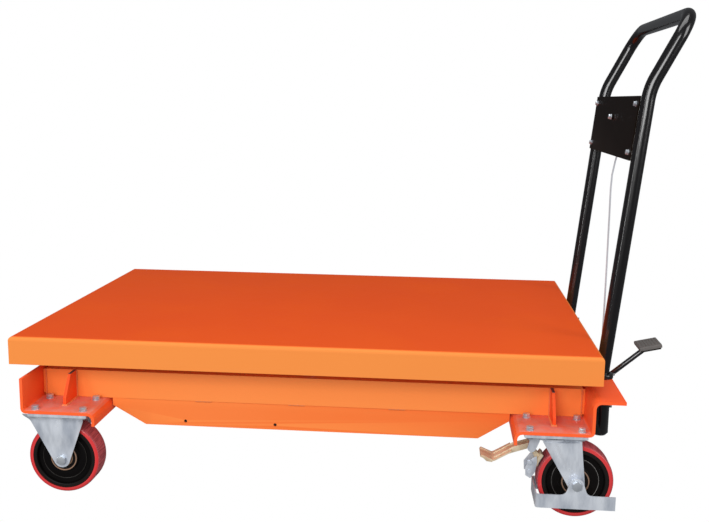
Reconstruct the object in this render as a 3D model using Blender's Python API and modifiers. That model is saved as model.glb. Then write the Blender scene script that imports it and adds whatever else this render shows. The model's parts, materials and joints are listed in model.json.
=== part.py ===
"""Mobile scissor lift table with a foot pump, lowered.

Metres, +Z up, +X toward the push handle. Sizes are measured from the middle
of the platform, on the floor; the last step moves the whole table so that
the origin is under the middle of its outline.
"""
from math import asin, cos, pi, radians, sin, sqrt, tan

import bmesh
import bpy
from mathutils import Matrix, Vector

# ---- platform
DECK_LENGTH = 1.200
DECK_WIDTH = 0.800
DECK_TOP = 0.330            # height of the loading surface when lowered
DECK_TOP_RAISED = 0.900
DECK_SHEET = 0.004
SKIRT_DEPTH = 0.058
DECK_BEND = 0.008

# ---- base frame
BEAM_SHEET = 0.006
BEAM_BEND = 0.010           # outside radius of the folded cross beams
BEAM_HALF = 0.427           # half width over the ends of both beams
BEAM_PLATE_TOP = 0.183
BEAM_WALL_TOP = 0.250
BEAM_FLANGE_BOTTOM = 0.155
FRONT_WALL_X = -0.5677
FRONT_FLANGE_X = -0.4134
REAR_FLANGE_X = 0.430
REAR_WALL_X = 0.5844
SHELF_EDGE_X = 0.6406
RAIL_WEB_Y = 0.323          # outer face of the side rails
RAIL_TOP = 0.242
RAIL_SHEET = 0.005
RAIL_FLANGE = 0.031
SIDE_PLATE_BOTTOM = 0.126
SIDE_PLATE_FRONT_X = -0.3406
SIDE_PLATE_REAR_X = 0.3649
SIDE_PLATE_SHOULDER_Z = 0.166
SIDE_PLATE_HOLES_X = (-0.254, -0.061)
SIDE_PLATE_HOLE_Z = 0.1365
SIDE_PLATE_HOLE = 0.007
GUSSET_SHEET = 0.006
GUSSET_TOP_REACH = 0.032
GUSSET_FOOT_REACH = 0.062
GUSSET_FOOT_HEIGHT = 0.016
GAP = 0.0003                # between faces that touch

# ---- scissor arms
ARM_LENGTH = 0.960          # between the end axes
ARM_PIVOT_X = -0.470        # fixed lower pivot, also the upper hinge
ARM_DEPTH = 0.046
ARM_THICK = 0.012
OUTER_ARM_Y = 0.275
INNER_ARM_Y = 0.255
PIN_RADIUS = 0.0107
RUNNING_GAP = 0.0003        # radial clearance of pins and axles
AXLE_RADIUS = 0.0122
ROLLER_Y = 0.301
ROLLER_WIDTH = 0.026
ROLLER_PLAY = 0.0005
DECK_RAIL_SHEET = 0.004
DECK_RAIL_HEIGHT = 0.050
CROSS_TUBE_RADIUS = 0.019
CROSS_TUBE_WALL = 0.003
CROSS_TUBE_INSET = 0.080

# ---- hydraulic cylinder, drawing the roller axle toward the pivots
CYLINDER_FOOT_X = -0.300
BARREL_RADIUS = 0.028
BARREL_BORE = 0.022
BARREL_START_X = -0.262
BARREL_END_X = 0.187
GLAND_RADIUS = 0.031
GLAND_LENGTH = 0.024
ROD_RADIUS = 0.015
PISTON_LENGTH = 0.026
ROD_EYE_RADIUS = 0.021

# ---- handle
HANDLE_Y = 0.2575
HANDLE_RADIUS = 0.014
HANDLE_FOOT_X = 0.6215
HANDLE_KNEE_Z = 0.262
HANDLE_BEND_X = 0.682
HANDLE_BEND_Z = 0.846
HANDLE_TOP_X = 0.757
HANDLE_TOP_Z = 0.992
HANDLE_CORNER = 0.055
SOCKET_RADIUS = 0.0175
SOCKET_FLANGE_RADIUS = 0.0215
SOCKET_X = 0.6225
SOCKET_BOTTOM = 0.126
SOCKET_RISE = 0.010
PANEL_HALF = 0.2575
PANEL_BOTTOM = 0.702
PANEL_TOP = 0.831
PANEL_SHEET = 0.003

# ---- casters
WHEEL_RADIUS = 0.075
WHEEL_WIDTH = 0.047
CORE_RADIUS = 0.066
CASTER_Y = 0.3765
FIXED_CASTER_X = -0.4912
SWIVEL_CASTER_X = 0.511
SWIVEL_TRAIL = 0.0447
BOLT_PITCH_X = 0.101
BOLT_PITCH_Y = 0.075
BOLT_HOLE = 0.011
TOP_PLATE = (0.122, 0.104, 0.005)
FORK_SHEET = 0.0032
FORK_GAP = 0.0305           # wheel centre to the inner face of a leg
WHEEL_AXLE_RADIUS = 0.006
GUARD_SHEET = 0.0025

# ---- foot pump
PEDAL_PIVOT = (0.632, 0.0, 0.134)
PEDAL_ANGLE = radians(41)
PEDAL_TRAVEL = radians(30)
PEDAL_ROD_RADIUS = 0.006
PLUNGER_TRAVEL = 0.0075
PEDAL_ROD_LENGTH = 0.178
PAD_LENGTH = 0.052
PAD_WIDTH = 0.068
PAD_THICK = 0.009
PAD_TILT = radians(13)

# ---- worked out from the sizes above
LOWER_Z = (BEAM_PLATE_TOP + RAIL_TOP) / 2
DECK_RAIL_BOTTOM = DECK_TOP - DECK_SHEET - GAP - DECK_RAIL_HEIGHT
UPPER_Z = DECK_RAIL_BOTTOM + DECK_RAIL_HEIGHT / 2
REST_ANGLE = asin((UPPER_Z - LOWER_Z) / ARM_LENGTH)
RAISED_ANGLE = asin((DECK_TOP_RAISED - DECK_TOP + UPPER_Z - LOWER_Z) / ARM_LENGTH)
ROLLER_X = ARM_PIVOT_X + ARM_LENGTH * cos(REST_ANGLE)
CENTRE_X = (ARM_PIVOT_X + ROLLER_X) / 2
CENTRE_Z = (LOWER_Z + UPPER_Z) / 2
RAIL_INNER_Y = RAIL_WEB_Y - RAIL_SHEET
PLATE_BOTTOM = BEAM_PLATE_TOP - BEAM_SHEET
STROKE = ARM_LENGTH * (cos(REST_ANGLE) - cos(RAISED_ANGLE))
SIDES = {"right": -1, "left": 1}

PAINT = ("orange_paint", (0.84, 0.17, 0.03), 0.35, 0.0)
BLACK = ("black_gloss", (0.012, 0.010, 0.009), 0.20, 0.0)
ZINC = ("zinc_plate", (0.60, 0.63, 0.66), 0.35, 0.9)
GOLD = ("yellow_zinc", (0.52, 0.38, 0.24), 0.35, 0.8)
STEEL = ("bare_steel", (0.50, 0.50, 0.50), 0.30, 1.0)
CHROME = ("hard_chrome", (0.75, 0.75, 0.76), 0.10, 1.0)
IRON = ("cast_iron", (0.022, 0.020, 0.019), 0.50, 0.2)
TYRE = ("red_polyurethane", (0.55, 0.02, 0.03), 0.40, 0.0)
RUBBER = ("grey_rubber", (0.09, 0.09, 0.09), 0.60, 0.0)
CABLE = ("cable_sleeve", (0.60, 0.65, 0.72), 0.30, 0.0)


# ---------------------------------------------------------------- helpers
def clear_scene():
    for obj in list(bpy.data.objects):
        bpy.data.objects.remove(obj, do_unlink=True)


def collection(name):
    made = bpy.data.collections.new(name)
    bpy.context.scene.collection.children.link(made)
    return made


def material(finish):
    name, colour, roughness, metallic = finish
    made = bpy.data.materials.get(name)
    if made is None:
        made = bpy.data.materials.new(name)
        made.use_nodes = True
        shader = made.node_tree.nodes["Principled BSDF"]
        shader.inputs["Base Color"].default_value = (*colour, 1.0)
        shader.inputs["Roughness"].default_value = roughness
        shader.inputs["Metallic"].default_value = metallic
        made.diffuse_color = (*colour, 1.0)
    return made


def pivot(name, place, parent):
    """An empty on a joint's axis; what it carries is parented to it."""
    empty = bpy.data.objects.new(name, None)
    parts.objects.link(empty)
    if parent is not None:
        empty.parent = parent
        place = Vector(place) - world_place(parent)
    empty.location = place
    return empty


def world_place(obj):
    place = obj.location.copy()
    while obj.parent is not None:
        obj = obj.parent
        place += obj.location
    return place


def add(name, mesh, finish, parent, smooth=30):
    """Put a mesh made in table coordinates into the model, with its origin on the parent's."""
    mesh.name = name
    origin = world_place(parent)
    mesh.transform(Matrix.Translation(-origin))
    mesh.materials.clear()
    mesh.materials.append(material(finish))
    mesh.shade_smooth()
    mesh.set_sharp_from_angle(angle=radians(smooth))
    obj = bpy.data.objects.new(name, mesh)
    parts.objects.link(obj)
    obj.parent = parent
    return obj


def helper(mesh, parent):
    """A solid that only cuts or joins another."""
    mesh.transform(Matrix.Translation(-world_place(parent)))
    obj = bpy.data.objects.new(mesh.name, mesh)
    cutters.objects.link(obj)
    obj.parent = parent
    obj.hide_render = True
    obj.display_type = "WIRE"
    return obj


def boolean(obj, mesh, operation):
    modifier = obj.modifiers.new(operation.lower(), "BOOLEAN")
    modifier.operation = operation
    modifier.solver = "EXACT"
    modifier.object = helper(mesh, obj.parent)


def cut(obj, *meshes):
    for mesh in meshes:
        boolean(obj, mesh, "DIFFERENCE")


def join(obj, *meshes):
    for mesh in meshes:
        boolean(obj, mesh, "UNION")


def bevel(obj, width, segments=2, angle=35):
    modifier = obj.modifiers.new("edges", "BEVEL")
    modifier.width = width
    modifier.segments = segments
    modifier.limit_method = "ANGLE"
    modifier.angle_limit = radians(angle)


def finish_mesh(bm, name):
    bm.normal_update()
    bmesh.ops.recalc_face_normals(bm, faces=bm.faces)
    mesh = bpy.data.meshes.new(name)
    bm.to_mesh(mesh)
    bm.free()
    return mesh


def box(x, y, z, name="box"):
    """A block between two x, two y and two z values."""
    bm = bmesh.new()
    bmesh.ops.create_cube(bm, size=1.0)
    size = (x[1] - x[0], y[1] - y[0], z[1] - z[0])
    middle = ((x[0] + x[1]) / 2, (y[0] + y[1]) / 2, (z[0] + z[1]) / 2)
    bmesh.ops.scale(bm, vec=size, verts=bm.verts)
    bmesh.ops.translate(bm, vec=middle, verts=bm.verts)
    return finish_mesh(bm, name)


def rounded_box(x, y, z, radius, segments=3, name="rounded_box"):
    bm = bmesh.new()
    bm.from_mesh(box(x, y, z))
    bmesh.ops.bevel(bm, geom=bm.edges[:], offset=radius, segments=segments, profile=0.5,
                    affect="EDGES", material=-1)
    return finish_mesh(bm, name)


def turn_to(axis):
    """Rotation that lays +Z along an axis."""
    return Vector((0, 0, 1)).rotation_difference(Vector(axis).normalized()).to_matrix().to_4x4()


def rod(start, end, radius, segments=24, name="rod"):
    """A round bar between two points."""
    start, end = Vector(start), Vector(end)
    bm = bmesh.new()
    bmesh.ops.create_cone(bm, cap_ends=True, segments=segments, radius1=radius, radius2=radius,
                          depth=(end - start).length)
    bm.transform(Matrix.Translation((start + end) / 2) @ turn_to(end - start))
    return finish_mesh(bm, name)


def cross_rod(x, z, y, radius, segments=24, name="cross_rod"):
    """A round bar along Y."""
    return rod((x, y[0], z), (x, y[1], z), radius, segments, name)


def turned(profile, place, axis=(0, 0, 1), steps=32, closed=False, name="turned"):
    """A lathe shape: (radius, height) points run down the outside, made with a Screw modifier."""
    mesh = bpy.data.meshes.new(name)
    points = [(radius, 0.0, height) for radius, height in profile]
    edges = [(i, i + 1) for i in range(len(points) - 1)]
    if closed:
        edges.append((len(points) - 1, 0))
    mesh.from_pydata(points, edges, [])
    obj = bpy.data.objects.new(name, mesh)
    bpy.context.scene.collection.objects.link(obj)
    screw = obj.modifiers.new("turn", "SCREW")
    screw.steps = screw.render_steps = steps
    screw.use_merge_vertices = True
    screw.merge_threshold = 0.00001
    made = evaluated(obj)
    made.transform(Matrix.Translation(place) @ turn_to(axis))
    return made


def evaluated(obj):
    """The finished mesh of a helper object, which is then removed."""
    bpy.context.view_layer.update()
    graph = bpy.context.evaluated_depsgraph_get()
    mesh = bpy.data.meshes.new_from_object(obj.evaluated_get(graph))
    mesh.transform(obj.matrix_world)
    bpy.data.objects.remove(obj, do_unlink=True)
    bm = bmesh.new()
    bm.from_mesh(mesh)
    bmesh.ops.remove_doubles(bm, verts=bm.verts, dist=0.00001)
    bmesh.ops.recalc_face_normals(bm, faces=bm.faces)
    bm.to_mesh(mesh)
    bm.free()
    return mesh


def ring(inner, outer, y, x, z, steps=32, name="ring"):
    """A tube section along Y."""
    half = (y[1] - y[0]) / 2
    profile = [(outer, half), (outer, -half), (inner, -half), (inner, half)]
    return turned(profile, (x, (y[0] + y[1]) / 2, z), (0, 1, 0), steps, closed=True, name=name)


def arc(centre, radius, start, end, count=4):
    """Points on an arc, angles in degrees."""
    angles = [radians(start + (end - start) * i / count) for i in range(count + 1)]
    return [(centre[0] + radius * cos(a), centre[1] + radius * sin(a)) for a in angles]


def rounded(corners, radius, count=4):
    """An open line with its inner corners rounded."""
    points = [corners[0]]
    for before, corner, after in zip(corners, corners[1:], corners[2:]):
        before, corner, after = Vector(before), Vector(corner), Vector(after)
        back = (before - corner).normalized()
        ahead = (after - corner).normalized()
        half = back.angle(ahead) / 2
        reach = min(radius / tan(half), 0.45 * (before - corner).length, 0.45 * (after - corner).length)
        centre = corner + (back + ahead).normalized() * reach / cos(half)
        first = corner + back * reach - centre
        last = corner + ahead * reach - centre
        turn = first.angle_signed(last)
        for i in range(count + 1):
            spoke = first.copy()
            spoke.rotate(Matrix.Rotation(-turn * i / count, 2))
            points.append(tuple(centre + spoke))
    points.append(corners[-1])
    return points


def outline_plate(outline, y, name="plate"):
    """A flat outline in X and Z, given its thickness along Y: a filled 2D curve with an extrude."""
    curve = bpy.data.curves.new(name, "CURVE")
    curve.dimensions = "2D"
    curve.fill_mode = "BOTH"
    curve.extrude = abs(y[1] - y[0]) / 2
    spline = curve.splines.new("POLY")
    spline.points.add(len(outline) - 1)
    for point, (x, z) in zip(spline.points, outline):
        point.co = (x, z, 0, 1)
    spline.use_cyclic_u = True
    obj = bpy.data.objects.new(name, curve)
    bpy.context.scene.collection.objects.link(obj)
    obj.rotation_euler = (pi / 2, 0, 0)
    obj.location = (0, (y[0] + y[1]) / 2, 0)
    return evaluated(obj)


def folded_sheet(line, y, thickness, name="folded_sheet"):
    """A line in X and Z with a sheet's thickness on its left, as a plate along Y."""
    points = [Vector(point) for point in line]
    other = []
    for i, point in enumerate(points):
        before = (point - points[max(i - 1, 0)]).normalized()
        after = (points[min(i + 1, len(points) - 1)] - point).normalized()
        if i == 0:
            before = after
        if i == len(points) - 1:
            after = before
        left = Vector((-before.y - after.y, before.x + after.x)).normalized()
        reach = thickness / max(0.2, left.dot(Vector((-before.y, before.x))))
        other.append(point + left * reach)
    outline = [tuple(point) for point in points + other[::-1]]
    return outline_plate(outline, y, name)


def tube_along(points, radius, corner_steps=None, resolution=4, name="tube"):
    """A round bar along a line, as a POLY curve with a bevel."""
    curve = bpy.data.curves.new(name, "CURVE")
    curve.dimensions = "3D"
    curve.bevel_depth = radius
    curve.bevel_resolution = resolution
    curve.use_fill_caps = True
    spline = curve.splines.new("POLY")
    spline.points.add(len(points) - 1)
    for point, place in zip(spline.points, points):
        point.co = (*place, 1)
    obj = bpy.data.objects.new(name, curve)
    bpy.context.scene.collection.objects.link(obj)
    return evaluated(obj)


def smooth_route(points, count):
    """Points evenly spread along a smooth curve through the given ones."""
    points = [Vector(p) for p in points]
    ends = [2 * points[0] - points[1]] + points + [2 * points[-1] - points[-2]]
    fine = []
    for a, b, c, d in zip(ends, ends[1:], ends[2:], ends[3:]):
        for i in range(12):
            t = i / 12
            fine.append(0.5 * (2 * b + (c - a) * t + (2 * a - 5 * b + 4 * c - d) * t * t
                               + (3 * b - a - 3 * c + d) * t * t * t))
    fine.append(points[-1])
    lengths = [0.0]
    for first, second in zip(fine, fine[1:]):
        lengths.append(lengths[-1] + (second - first).length)
    route = []
    for i in range(count):
        wanted = lengths[-1] * i / (count - 1)
        k = max(j for j in range(len(lengths)) if lengths[j] <= wanted + 1e-9)
        k = min(k, len(fine) - 2)
        span = lengths[k + 1] - lengths[k]
        route.append(fine[k].lerp(fine[k + 1], min(1.0, (wanted - lengths[k]) / span)))
    return route


def both(side, near, far):
    """A pair of Y values on one side, in rising order."""
    return tuple(sorted((side * near, side * far)))


# ---------------------------------------------------------------- base frame
def gusset(x, side, name):
    """Stiffener between a side rail and a beam plate, sloping out to a small foot."""
    top_y = RAIL_WEB_Y + GUSSET_TOP_REACH
    foot_y = RAIL_WEB_Y + GUSSET_FOOT_REACH
    root_y = RAIL_WEB_Y + GAP
    bottom = BEAM_PLATE_TOP - 0.001
    outline = [(root_y, bottom), (foot_y, bottom), (foot_y, BEAM_PLATE_TOP + GUSSET_FOOT_HEIGHT),
               (top_y, RAIL_TOP), (root_y, RAIL_TOP)]
    mesh = outline_plate([(y, z) for y, z in outline], (-GUSSET_SHEET / 2, GUSSET_SHEET / 2), name)
    mesh.transform(Matrix.Translation((x, 0, 0)) @ Matrix.Rotation(pi / 2, 4, "Z"))
    if side < 0:
        mesh.transform(Matrix.Scale(-1, 4, (0, 1, 0)))
        mesh.flip_normals()
    return mesh


def caster_bolt_holes(beam, centre_x):
    for side in SIDES.values():
        for dx in (-BOLT_PITCH_X / 2, BOLT_PITCH_X / 2):
            for dy in (-BOLT_PITCH_Y / 2, BOLT_PITCH_Y / 2):
                x, y = centre_x + dx, side * CASTER_Y + dy
                cut(beam, rod((x, y, PLATE_BOTTOM - 0.01), (x, y, BEAM_PLATE_TOP + 0.01),
                              BOLT_HOLE / 2, 12))


def front_cross_beam(base):
    line = rounded([(FRONT_WALL_X, BEAM_WALL_TOP), (FRONT_WALL_X, PLATE_BOTTOM),
                    (FRONT_FLANGE_X - BEAM_SHEET, PLATE_BOTTOM),
                    (FRONT_FLANGE_X - BEAM_SHEET, BEAM_FLANGE_BOTTOM)], BEAM_BEND)
    mesh = folded_sheet(line, (-BEAM_HALF, BEAM_HALF), BEAM_SHEET, "front_cross_beam")
    beam = add("front_cross_beam", mesh, PAINT, base)
    for side in SIDES.values():
        join(beam, gusset(FIXED_CASTER_X, side, "gusset"))
    caster_bolt_holes(beam, FIXED_CASTER_X)
    return beam


def rear_cross_beam(base):
    line = rounded([(REAR_FLANGE_X + BEAM_SHEET, BEAM_FLANGE_BOTTOM), (REAR_FLANGE_X + BEAM_SHEET, PLATE_BOTTOM),
                    (REAR_WALL_X, PLATE_BOTTOM), (REAR_WALL_X, BEAM_WALL_TOP - BEAM_SHEET),
                    (SHELF_EDGE_X, BEAM_WALL_TOP - BEAM_SHEET)], BEAM_BEND)
    mesh = folded_sheet(line, (-BEAM_HALF, BEAM_HALF), BEAM_SHEET, "rear_cross_beam")
    beam = add("rear_cross_beam", mesh, PAINT, base)
    for side in SIDES.values():
        join(beam, gusset(SWIVEL_CASTER_X, side, "gusset"))
        cut(beam, rod((SOCKET_X, side * HANDLE_Y, BEAM_WALL_TOP - 0.02),
                      (SOCKET_X, side * HANDLE_Y, BEAM_WALL_TOP + 0.02), SOCKET_RADIUS + GAP, 32))
    caster_bolt_holes(beam, SWIVEL_CASTER_X)
    return beam


def side_rail(word, side, base):
    """Channel that the lower rollers run in, with its lower plate, pivot block and pivot pin."""
    front_x = FRONT_WALL_X + BEAM_BEND + GAP
    rear_x = REAR_WALL_X - BEAM_BEND - GAP
    bottom = BEAM_PLATE_TOP + GAP
    y = both(side, RAIL_INNER_Y, RAIL_WEB_Y)
    rail = add(word + "_side_rail", box((front_x, rear_x), y, (bottom, RAIL_TOP)), PAINT, base)
    lips = both(side, RAIL_INNER_Y - RAIL_FLANGE, RAIL_WEB_Y - 0.001)
    join(rail, box((front_x, rear_x), lips, (bottom, bottom + RAIL_SHEET)))
    join(rail, box((front_x, rear_x), lips, (RAIL_TOP - RAIL_SHEET, RAIL_TOP)))
    outer = RAIL_WEB_Y - 0.004
    plate_y = both(side, outer - 0.006, outer)
    reach = SIDE_PLATE_SHOULDER_Z - SIDE_PLATE_BOTTOM
    front_top = FRONT_FLANGE_X + 0.0015
    rear_top = REAR_FLANGE_X - 0.0015
    outline = [(SIDE_PLATE_FRONT_X, SIDE_PLATE_BOTTOM), (SIDE_PLATE_REAR_X, SIDE_PLATE_BOTTOM),
               (rear_top, SIDE_PLATE_SHOULDER_Z), (rear_top, bottom + RAIL_SHEET),
               (front_top, bottom + RAIL_SHEET), (front_top, SIDE_PLATE_SHOULDER_Z)]
    join(rail, outline_plate(outline, plate_y))
    for x in SIDE_PLATE_HOLES_X:
        cut(rail, cross_rod(x, SIDE_PLATE_HOLE_Z, both(side, outer - 0.02, outer + 0.02),
                            SIDE_PLATE_HOLE / 2, 16))
    block_face = OUTER_ARM_Y + ARM_THICK / 2 + 0.003
    join(rail, box((ARM_PIVOT_X - 0.03, ARM_PIVOT_X + 0.03), both(side, block_face, RAIL_WEB_Y - 0.002),
                   (bottom + 0.002, RAIL_TOP - 0.002)))
    pin = both(side, OUTER_ARM_Y - ARM_THICK / 2 - 0.0015, block_face + 0.01)
    join(rail, cross_rod(ARM_PIVOT_X, LOWER_Z, pin, PIN_RADIUS))
    return rail


# ---------------------------------------------------------------- scissor
def arm_outline(start, end):
    """A bar with round ends about its two end axes."""
    angle = Vector((end[0] - start[0], end[1] - start[1])).angle_signed(Vector((1, 0)))
    turn = angle * 180 / pi
    radius = ARM_DEPTH / 2
    return arc(start, radius, turn + 90, turn + 270, 10) + arc(end, radius, turn - 90, turn + 90, 10)


def arm(word, side, middle_y, start, end, parent, holes):
    y = both(side, middle_y - ARM_THICK / 2, middle_y + ARM_THICK / 2)
    obj = add(word, outline_plate(arm_outline(start, end), y, word), PAINT, parent)
    for (x, z), radius in holes:
        cut(obj, cross_rod(x, z, (y[0] - 0.01, y[1] + 0.01), radius + RUNNING_GAP))
    return obj


def cross_tube(name, x, z, half, parent, radius=CROSS_TUBE_RADIUS):
    mesh = ring(radius - CROSS_TUBE_WALL, radius, (-half, half), x, z, 24, name)
    return add(name, mesh, PAINT, parent)


def along_arm(start, end, distance):
    start, end = Vector(start), Vector(end)
    return start + (end - start).normalized() * distance


def roller(name, x, z, side, outer, parent, finish=STEEL):
    y = both(side, ROLLER_Y - ROLLER_WIDTH / 2, ROLLER_Y + ROLLER_WIDTH / 2)
    mesh = ring(AXLE_RADIUS + RUNNING_GAP, outer, y, x, z, 24, name)
    return add(name, mesh, finish, parent)


def scissor(base):
    lower = (ARM_PIVOT_X, LOWER_Z)
    upper = (ARM_PIVOT_X, UPPER_Z)
    lower_roll = (ROLLER_X, LOWER_Z)
    upper_roll = (ROLLER_X, UPPER_Z)
    centre = (CENTRE_X, CENTRE_Z)
    lower_radius = (RAIL_TOP - BEAM_PLATE_TOP - GAP - 2 * RAIL_SHEET) / 2 - ROLLER_PLAY
    upper_radius = DECK_RAIL_HEIGHT / 2 - DECK_RAIL_SHEET - ROLLER_PLAY
    stub_end = RAIL_INNER_Y - 0.0025

    outer = pivot("outer_arms", (lower[0], 0, lower[1]), base)
    inner = pivot("inner_arms", (centre[0], 0, centre[1]), outer)
    for word, side in SIDES.items():
        obj = arm("outer_arm_" + word, side, OUTER_ARM_Y, lower, upper_roll, outer,
                  [(lower, PIN_RADIUS), (centre, PIN_RADIUS)])
        face = OUTER_ARM_Y + ARM_THICK / 2
        join(obj, cross_rod(upper_roll[0], upper_roll[1], both(side, face - 0.002, stub_end), AXLE_RADIUS))
        arm("inner_arm_" + word, side, INNER_ARM_Y, upper, lower_roll, inner,
            [(upper, PIN_RADIUS), (centre, PIN_RADIUS), (lower_roll, AXLE_RADIUS)])
        inside = INNER_ARM_Y - ARM_THICK / 2 - 0.0015
        outside = face + GAP
        profile = [(0, 0.005), (PIN_RADIUS * 1.5, 0.005), (PIN_RADIUS * 1.7, 0.0035),
                   (PIN_RADIUS * 1.7, 0), (PIN_RADIUS, 0), (PIN_RADIUS, inside - outside),
                   (0, inside - outside)]
        add("centre_pin_" + word, turned(profile, (centre[0], side * outside, centre[1]), (0, side, 0), 24),
            STEEL, outer)
        spin = pivot("lower_roller_spin_" + word, (lower_roll[0], 0, lower_roll[1]), inner)
        roller("lower_roller_" + word, *lower_roll, side, lower_radius, spin)
        spin = pivot("upper_roller_spin_" + word, (upper_roll[0], 0, upper_roll[1]), outer)
        roller("upper_roller_" + word, *upper_roll, side, upper_radius, spin)

    outer_half = OUTER_ARM_Y - ARM_THICK / 2 - GAP
    inner_half = INNER_ARM_Y - ARM_THICK / 2 - GAP
    place = along_arm(lower, upper_roll, CROSS_TUBE_INSET)
    cross_tube("outer_cross_tube_front", *place, outer_half, outer)
    place = along_arm(upper_roll, lower, CROSS_TUBE_INSET)
    cross_tube("outer_cross_tube_rear", *place, outer_half, outer)
    place = along_arm(upper, lower_roll, CROSS_TUBE_INSET)
    cross_tube("inner_cross_tube", *place, inner_half, inner)
    axle = cross_rod(*lower_roll, (-stub_end, stub_end), AXLE_RADIUS, 24, "roller_axle")
    add("roller_axle", axle, STEEL, inner)
    platform = pivot("platform", (upper[0], 0, upper[1]), inner)
    ram = pivot("ram", (lower_roll[0], 0, lower_roll[1]), inner)
    return platform, ram


# ---------------------------------------------------------------- platform
def platform_deck(platform):
    """Pressed tray: all four edges bent down."""
    half_x, half_y = DECK_LENGTH / 2, DECK_WIDTH / 2
    bottom = DECK_TOP - SKIRT_DEPTH
    bm = bmesh.new()
    bm.from_mesh(box((-half_x, half_x), (-half_y, half_y), (bottom, DECK_TOP)))
    top = max(bm.faces, key=lambda face: face.calc_center_median().z)
    bmesh.ops.bevel(bm, geom=list(top.edges), offset=DECK_BEND, segments=4, profile=0.5,
                    affect="EDGES", material=-1)
    floor = min(bm.faces, key=lambda face: face.calc_center_median().z)
    bmesh.ops.delete(bm, geom=[floor], context="FACES")
    bmesh.ops.recalc_face_normals(bm, faces=bm.faces)
    mesh = bpy.data.meshes.new("platform_deck")
    bm.to_mesh(mesh)
    bm.free()
    obj = add("platform_deck", mesh, PAINT, platform)
    sheet = obj.modifiers.new("sheet", "SOLIDIFY")
    sheet.thickness = DECK_SHEET
    sheet.offset = -1
    sheet.use_even_offset = True
    return obj


def platform_rail(word, side, platform):
    """Channel under the platform for the upper rollers, with the hinge bracket and its pin."""
    reach = DECK_LENGTH / 2 - 0.030
    top = DECK_TOP - DECK_SHEET - GAP
    bottom = DECK_RAIL_BOTTOM
    lips = both(side, RAIL_INNER_Y - RAIL_FLANGE, RAIL_WEB_Y - 0.001)
    web = both(side, RAIL_WEB_Y - DECK_RAIL_SHEET, RAIL_WEB_Y)
    rail = add("platform_rail_" + word, box((-reach, reach), web, (bottom, top)), PAINT, platform)
    join(rail, box((-reach, reach), lips, (bottom, bottom + DECK_RAIL_SHEET)))
    join(rail, box((-reach, reach), lips, (top - DECK_RAIL_SHEET, top)))
    face = INNER_ARM_Y + ARM_THICK / 2 + 0.002
    back = face + 0.010
    x = (ARM_PIVOT_X - 0.028, ARM_PIVOT_X + 0.028)
    join(rail, box(x, both(side, face, back), (UPPER_Z - 0.020, top - 0.001)))
    join(rail, box(x, both(side, face + 0.001, RAIL_INNER_Y), (top - DECK_RAIL_SHEET + 0.0005, top - 0.0005)))
    pin = both(side, INNER_ARM_Y - ARM_THICK / 2 - 0.0015, face + 0.006)
    join(rail, cross_rod(ARM_PIVOT_X, UPPER_Z, pin, PIN_RADIUS))
    return rail


# ---------------------------------------------------------------- hydraulics
def cylinder(base, ram):
    foot = (CYLINDER_FOOT_X, LOWER_Z)
    pin_radius = 0.0077
    bar_bottom = BEAM_PLATE_TOP + GAP + RAIL_SHEET + GAP
    bar_top = bar_bottom + 0.008
    anchor = add("cylinder_anchor", box((foot[0] - 0.030, foot[0] + 0.030),
                                        (-RAIL_INNER_Y + GAP, RAIL_INNER_Y - GAP),
                                        (bar_bottom, bar_top)), PAINT, base)
    for side in SIDES.values():
        ear = arc(foot, 0.018, 0, 180, 8) + [(foot[0] - 0.018, bar_top - 0.002),
                                              (foot[0] + 0.018, bar_top - 0.002)]
        join(anchor, outline_plate(ear, both(side, 0.0222, 0.0322)))
    cut(anchor, cross_rod(*foot, (-0.05, 0.05), pin_radius + RUNNING_GAP, 20))
    head = [(0, 0.004), (0.012, 0.004), (0.012, 0), (pin_radius, 0), (pin_radius, -0.074), (0, -0.074)]
    add("cylinder_foot_pin", turned(head, (foot[0], 0.0326, foot[1]), (0, 1, 0), 24), STEEL, base)

    eye_half = 0.0216
    end = BARREL_END_X
    gland = end - GLAND_LENGTH
    profile = [(BARREL_RADIUS, gland), (BARREL_RADIUS, BARREL_START_X), (0, BARREL_START_X),
               (0, BARREL_START_X + 0.010), (BARREL_BORE, BARREL_START_X + 0.010),
               (BARREL_BORE, gland), (ROD_RADIUS + RUNNING_GAP, gland), (ROD_RADIUS + RUNNING_GAP, end),
               (GLAND_RADIUS - 0.003, end), (GLAND_RADIUS, end - 0.003), (GLAND_RADIUS, gland)]
    shell = turned(profile, (0, 0, LOWER_Z), (1, 0, 0), 24, closed=True, name="cylinder_barrel")
    barrel = add("cylinder_barrel", shell, BLACK, base)
    eye = arc(foot, 0.0145, 90, 270, 8) + [(BARREL_START_X + 0.005, foot[1] - 0.0145),
                                           (BARREL_START_X + 0.005, foot[1] + 0.0145)]
    join(barrel, outline_plate(eye, (-eye_half, eye_half)))
    cut(barrel, cross_rod(*foot, (-0.05, 0.05), pin_radius + RUNNING_GAP, 20))

    piston_end = gland - 0.010
    piston_start = piston_end - PISTON_LENGTH
    profile = [(0, ROLLER_X - ROD_EYE_RADIUS + 0.004), (ROD_RADIUS, ROLLER_X - ROD_EYE_RADIUS + 0.004),
               (ROD_RADIUS, piston_end), (BARREL_BORE - GAP, piston_end),
               (BARREL_BORE - GAP, piston_start), (0, piston_start)]
    shaft = turned(profile, (0, 0, LOWER_Z), (1, 0, 0), 24, name="cylinder_rod")
    piston = add("cylinder_rod", shaft, CHROME, ram)
    join(piston, cross_rod(ROLLER_X, LOWER_Z, (-0.018, 0.018), ROD_EYE_RADIUS, 28))
    cut(piston, cross_rod(ROLLER_X, LOWER_Z, (-0.03, 0.03), AXLE_RADIUS + RUNNING_GAP, 24))


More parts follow.
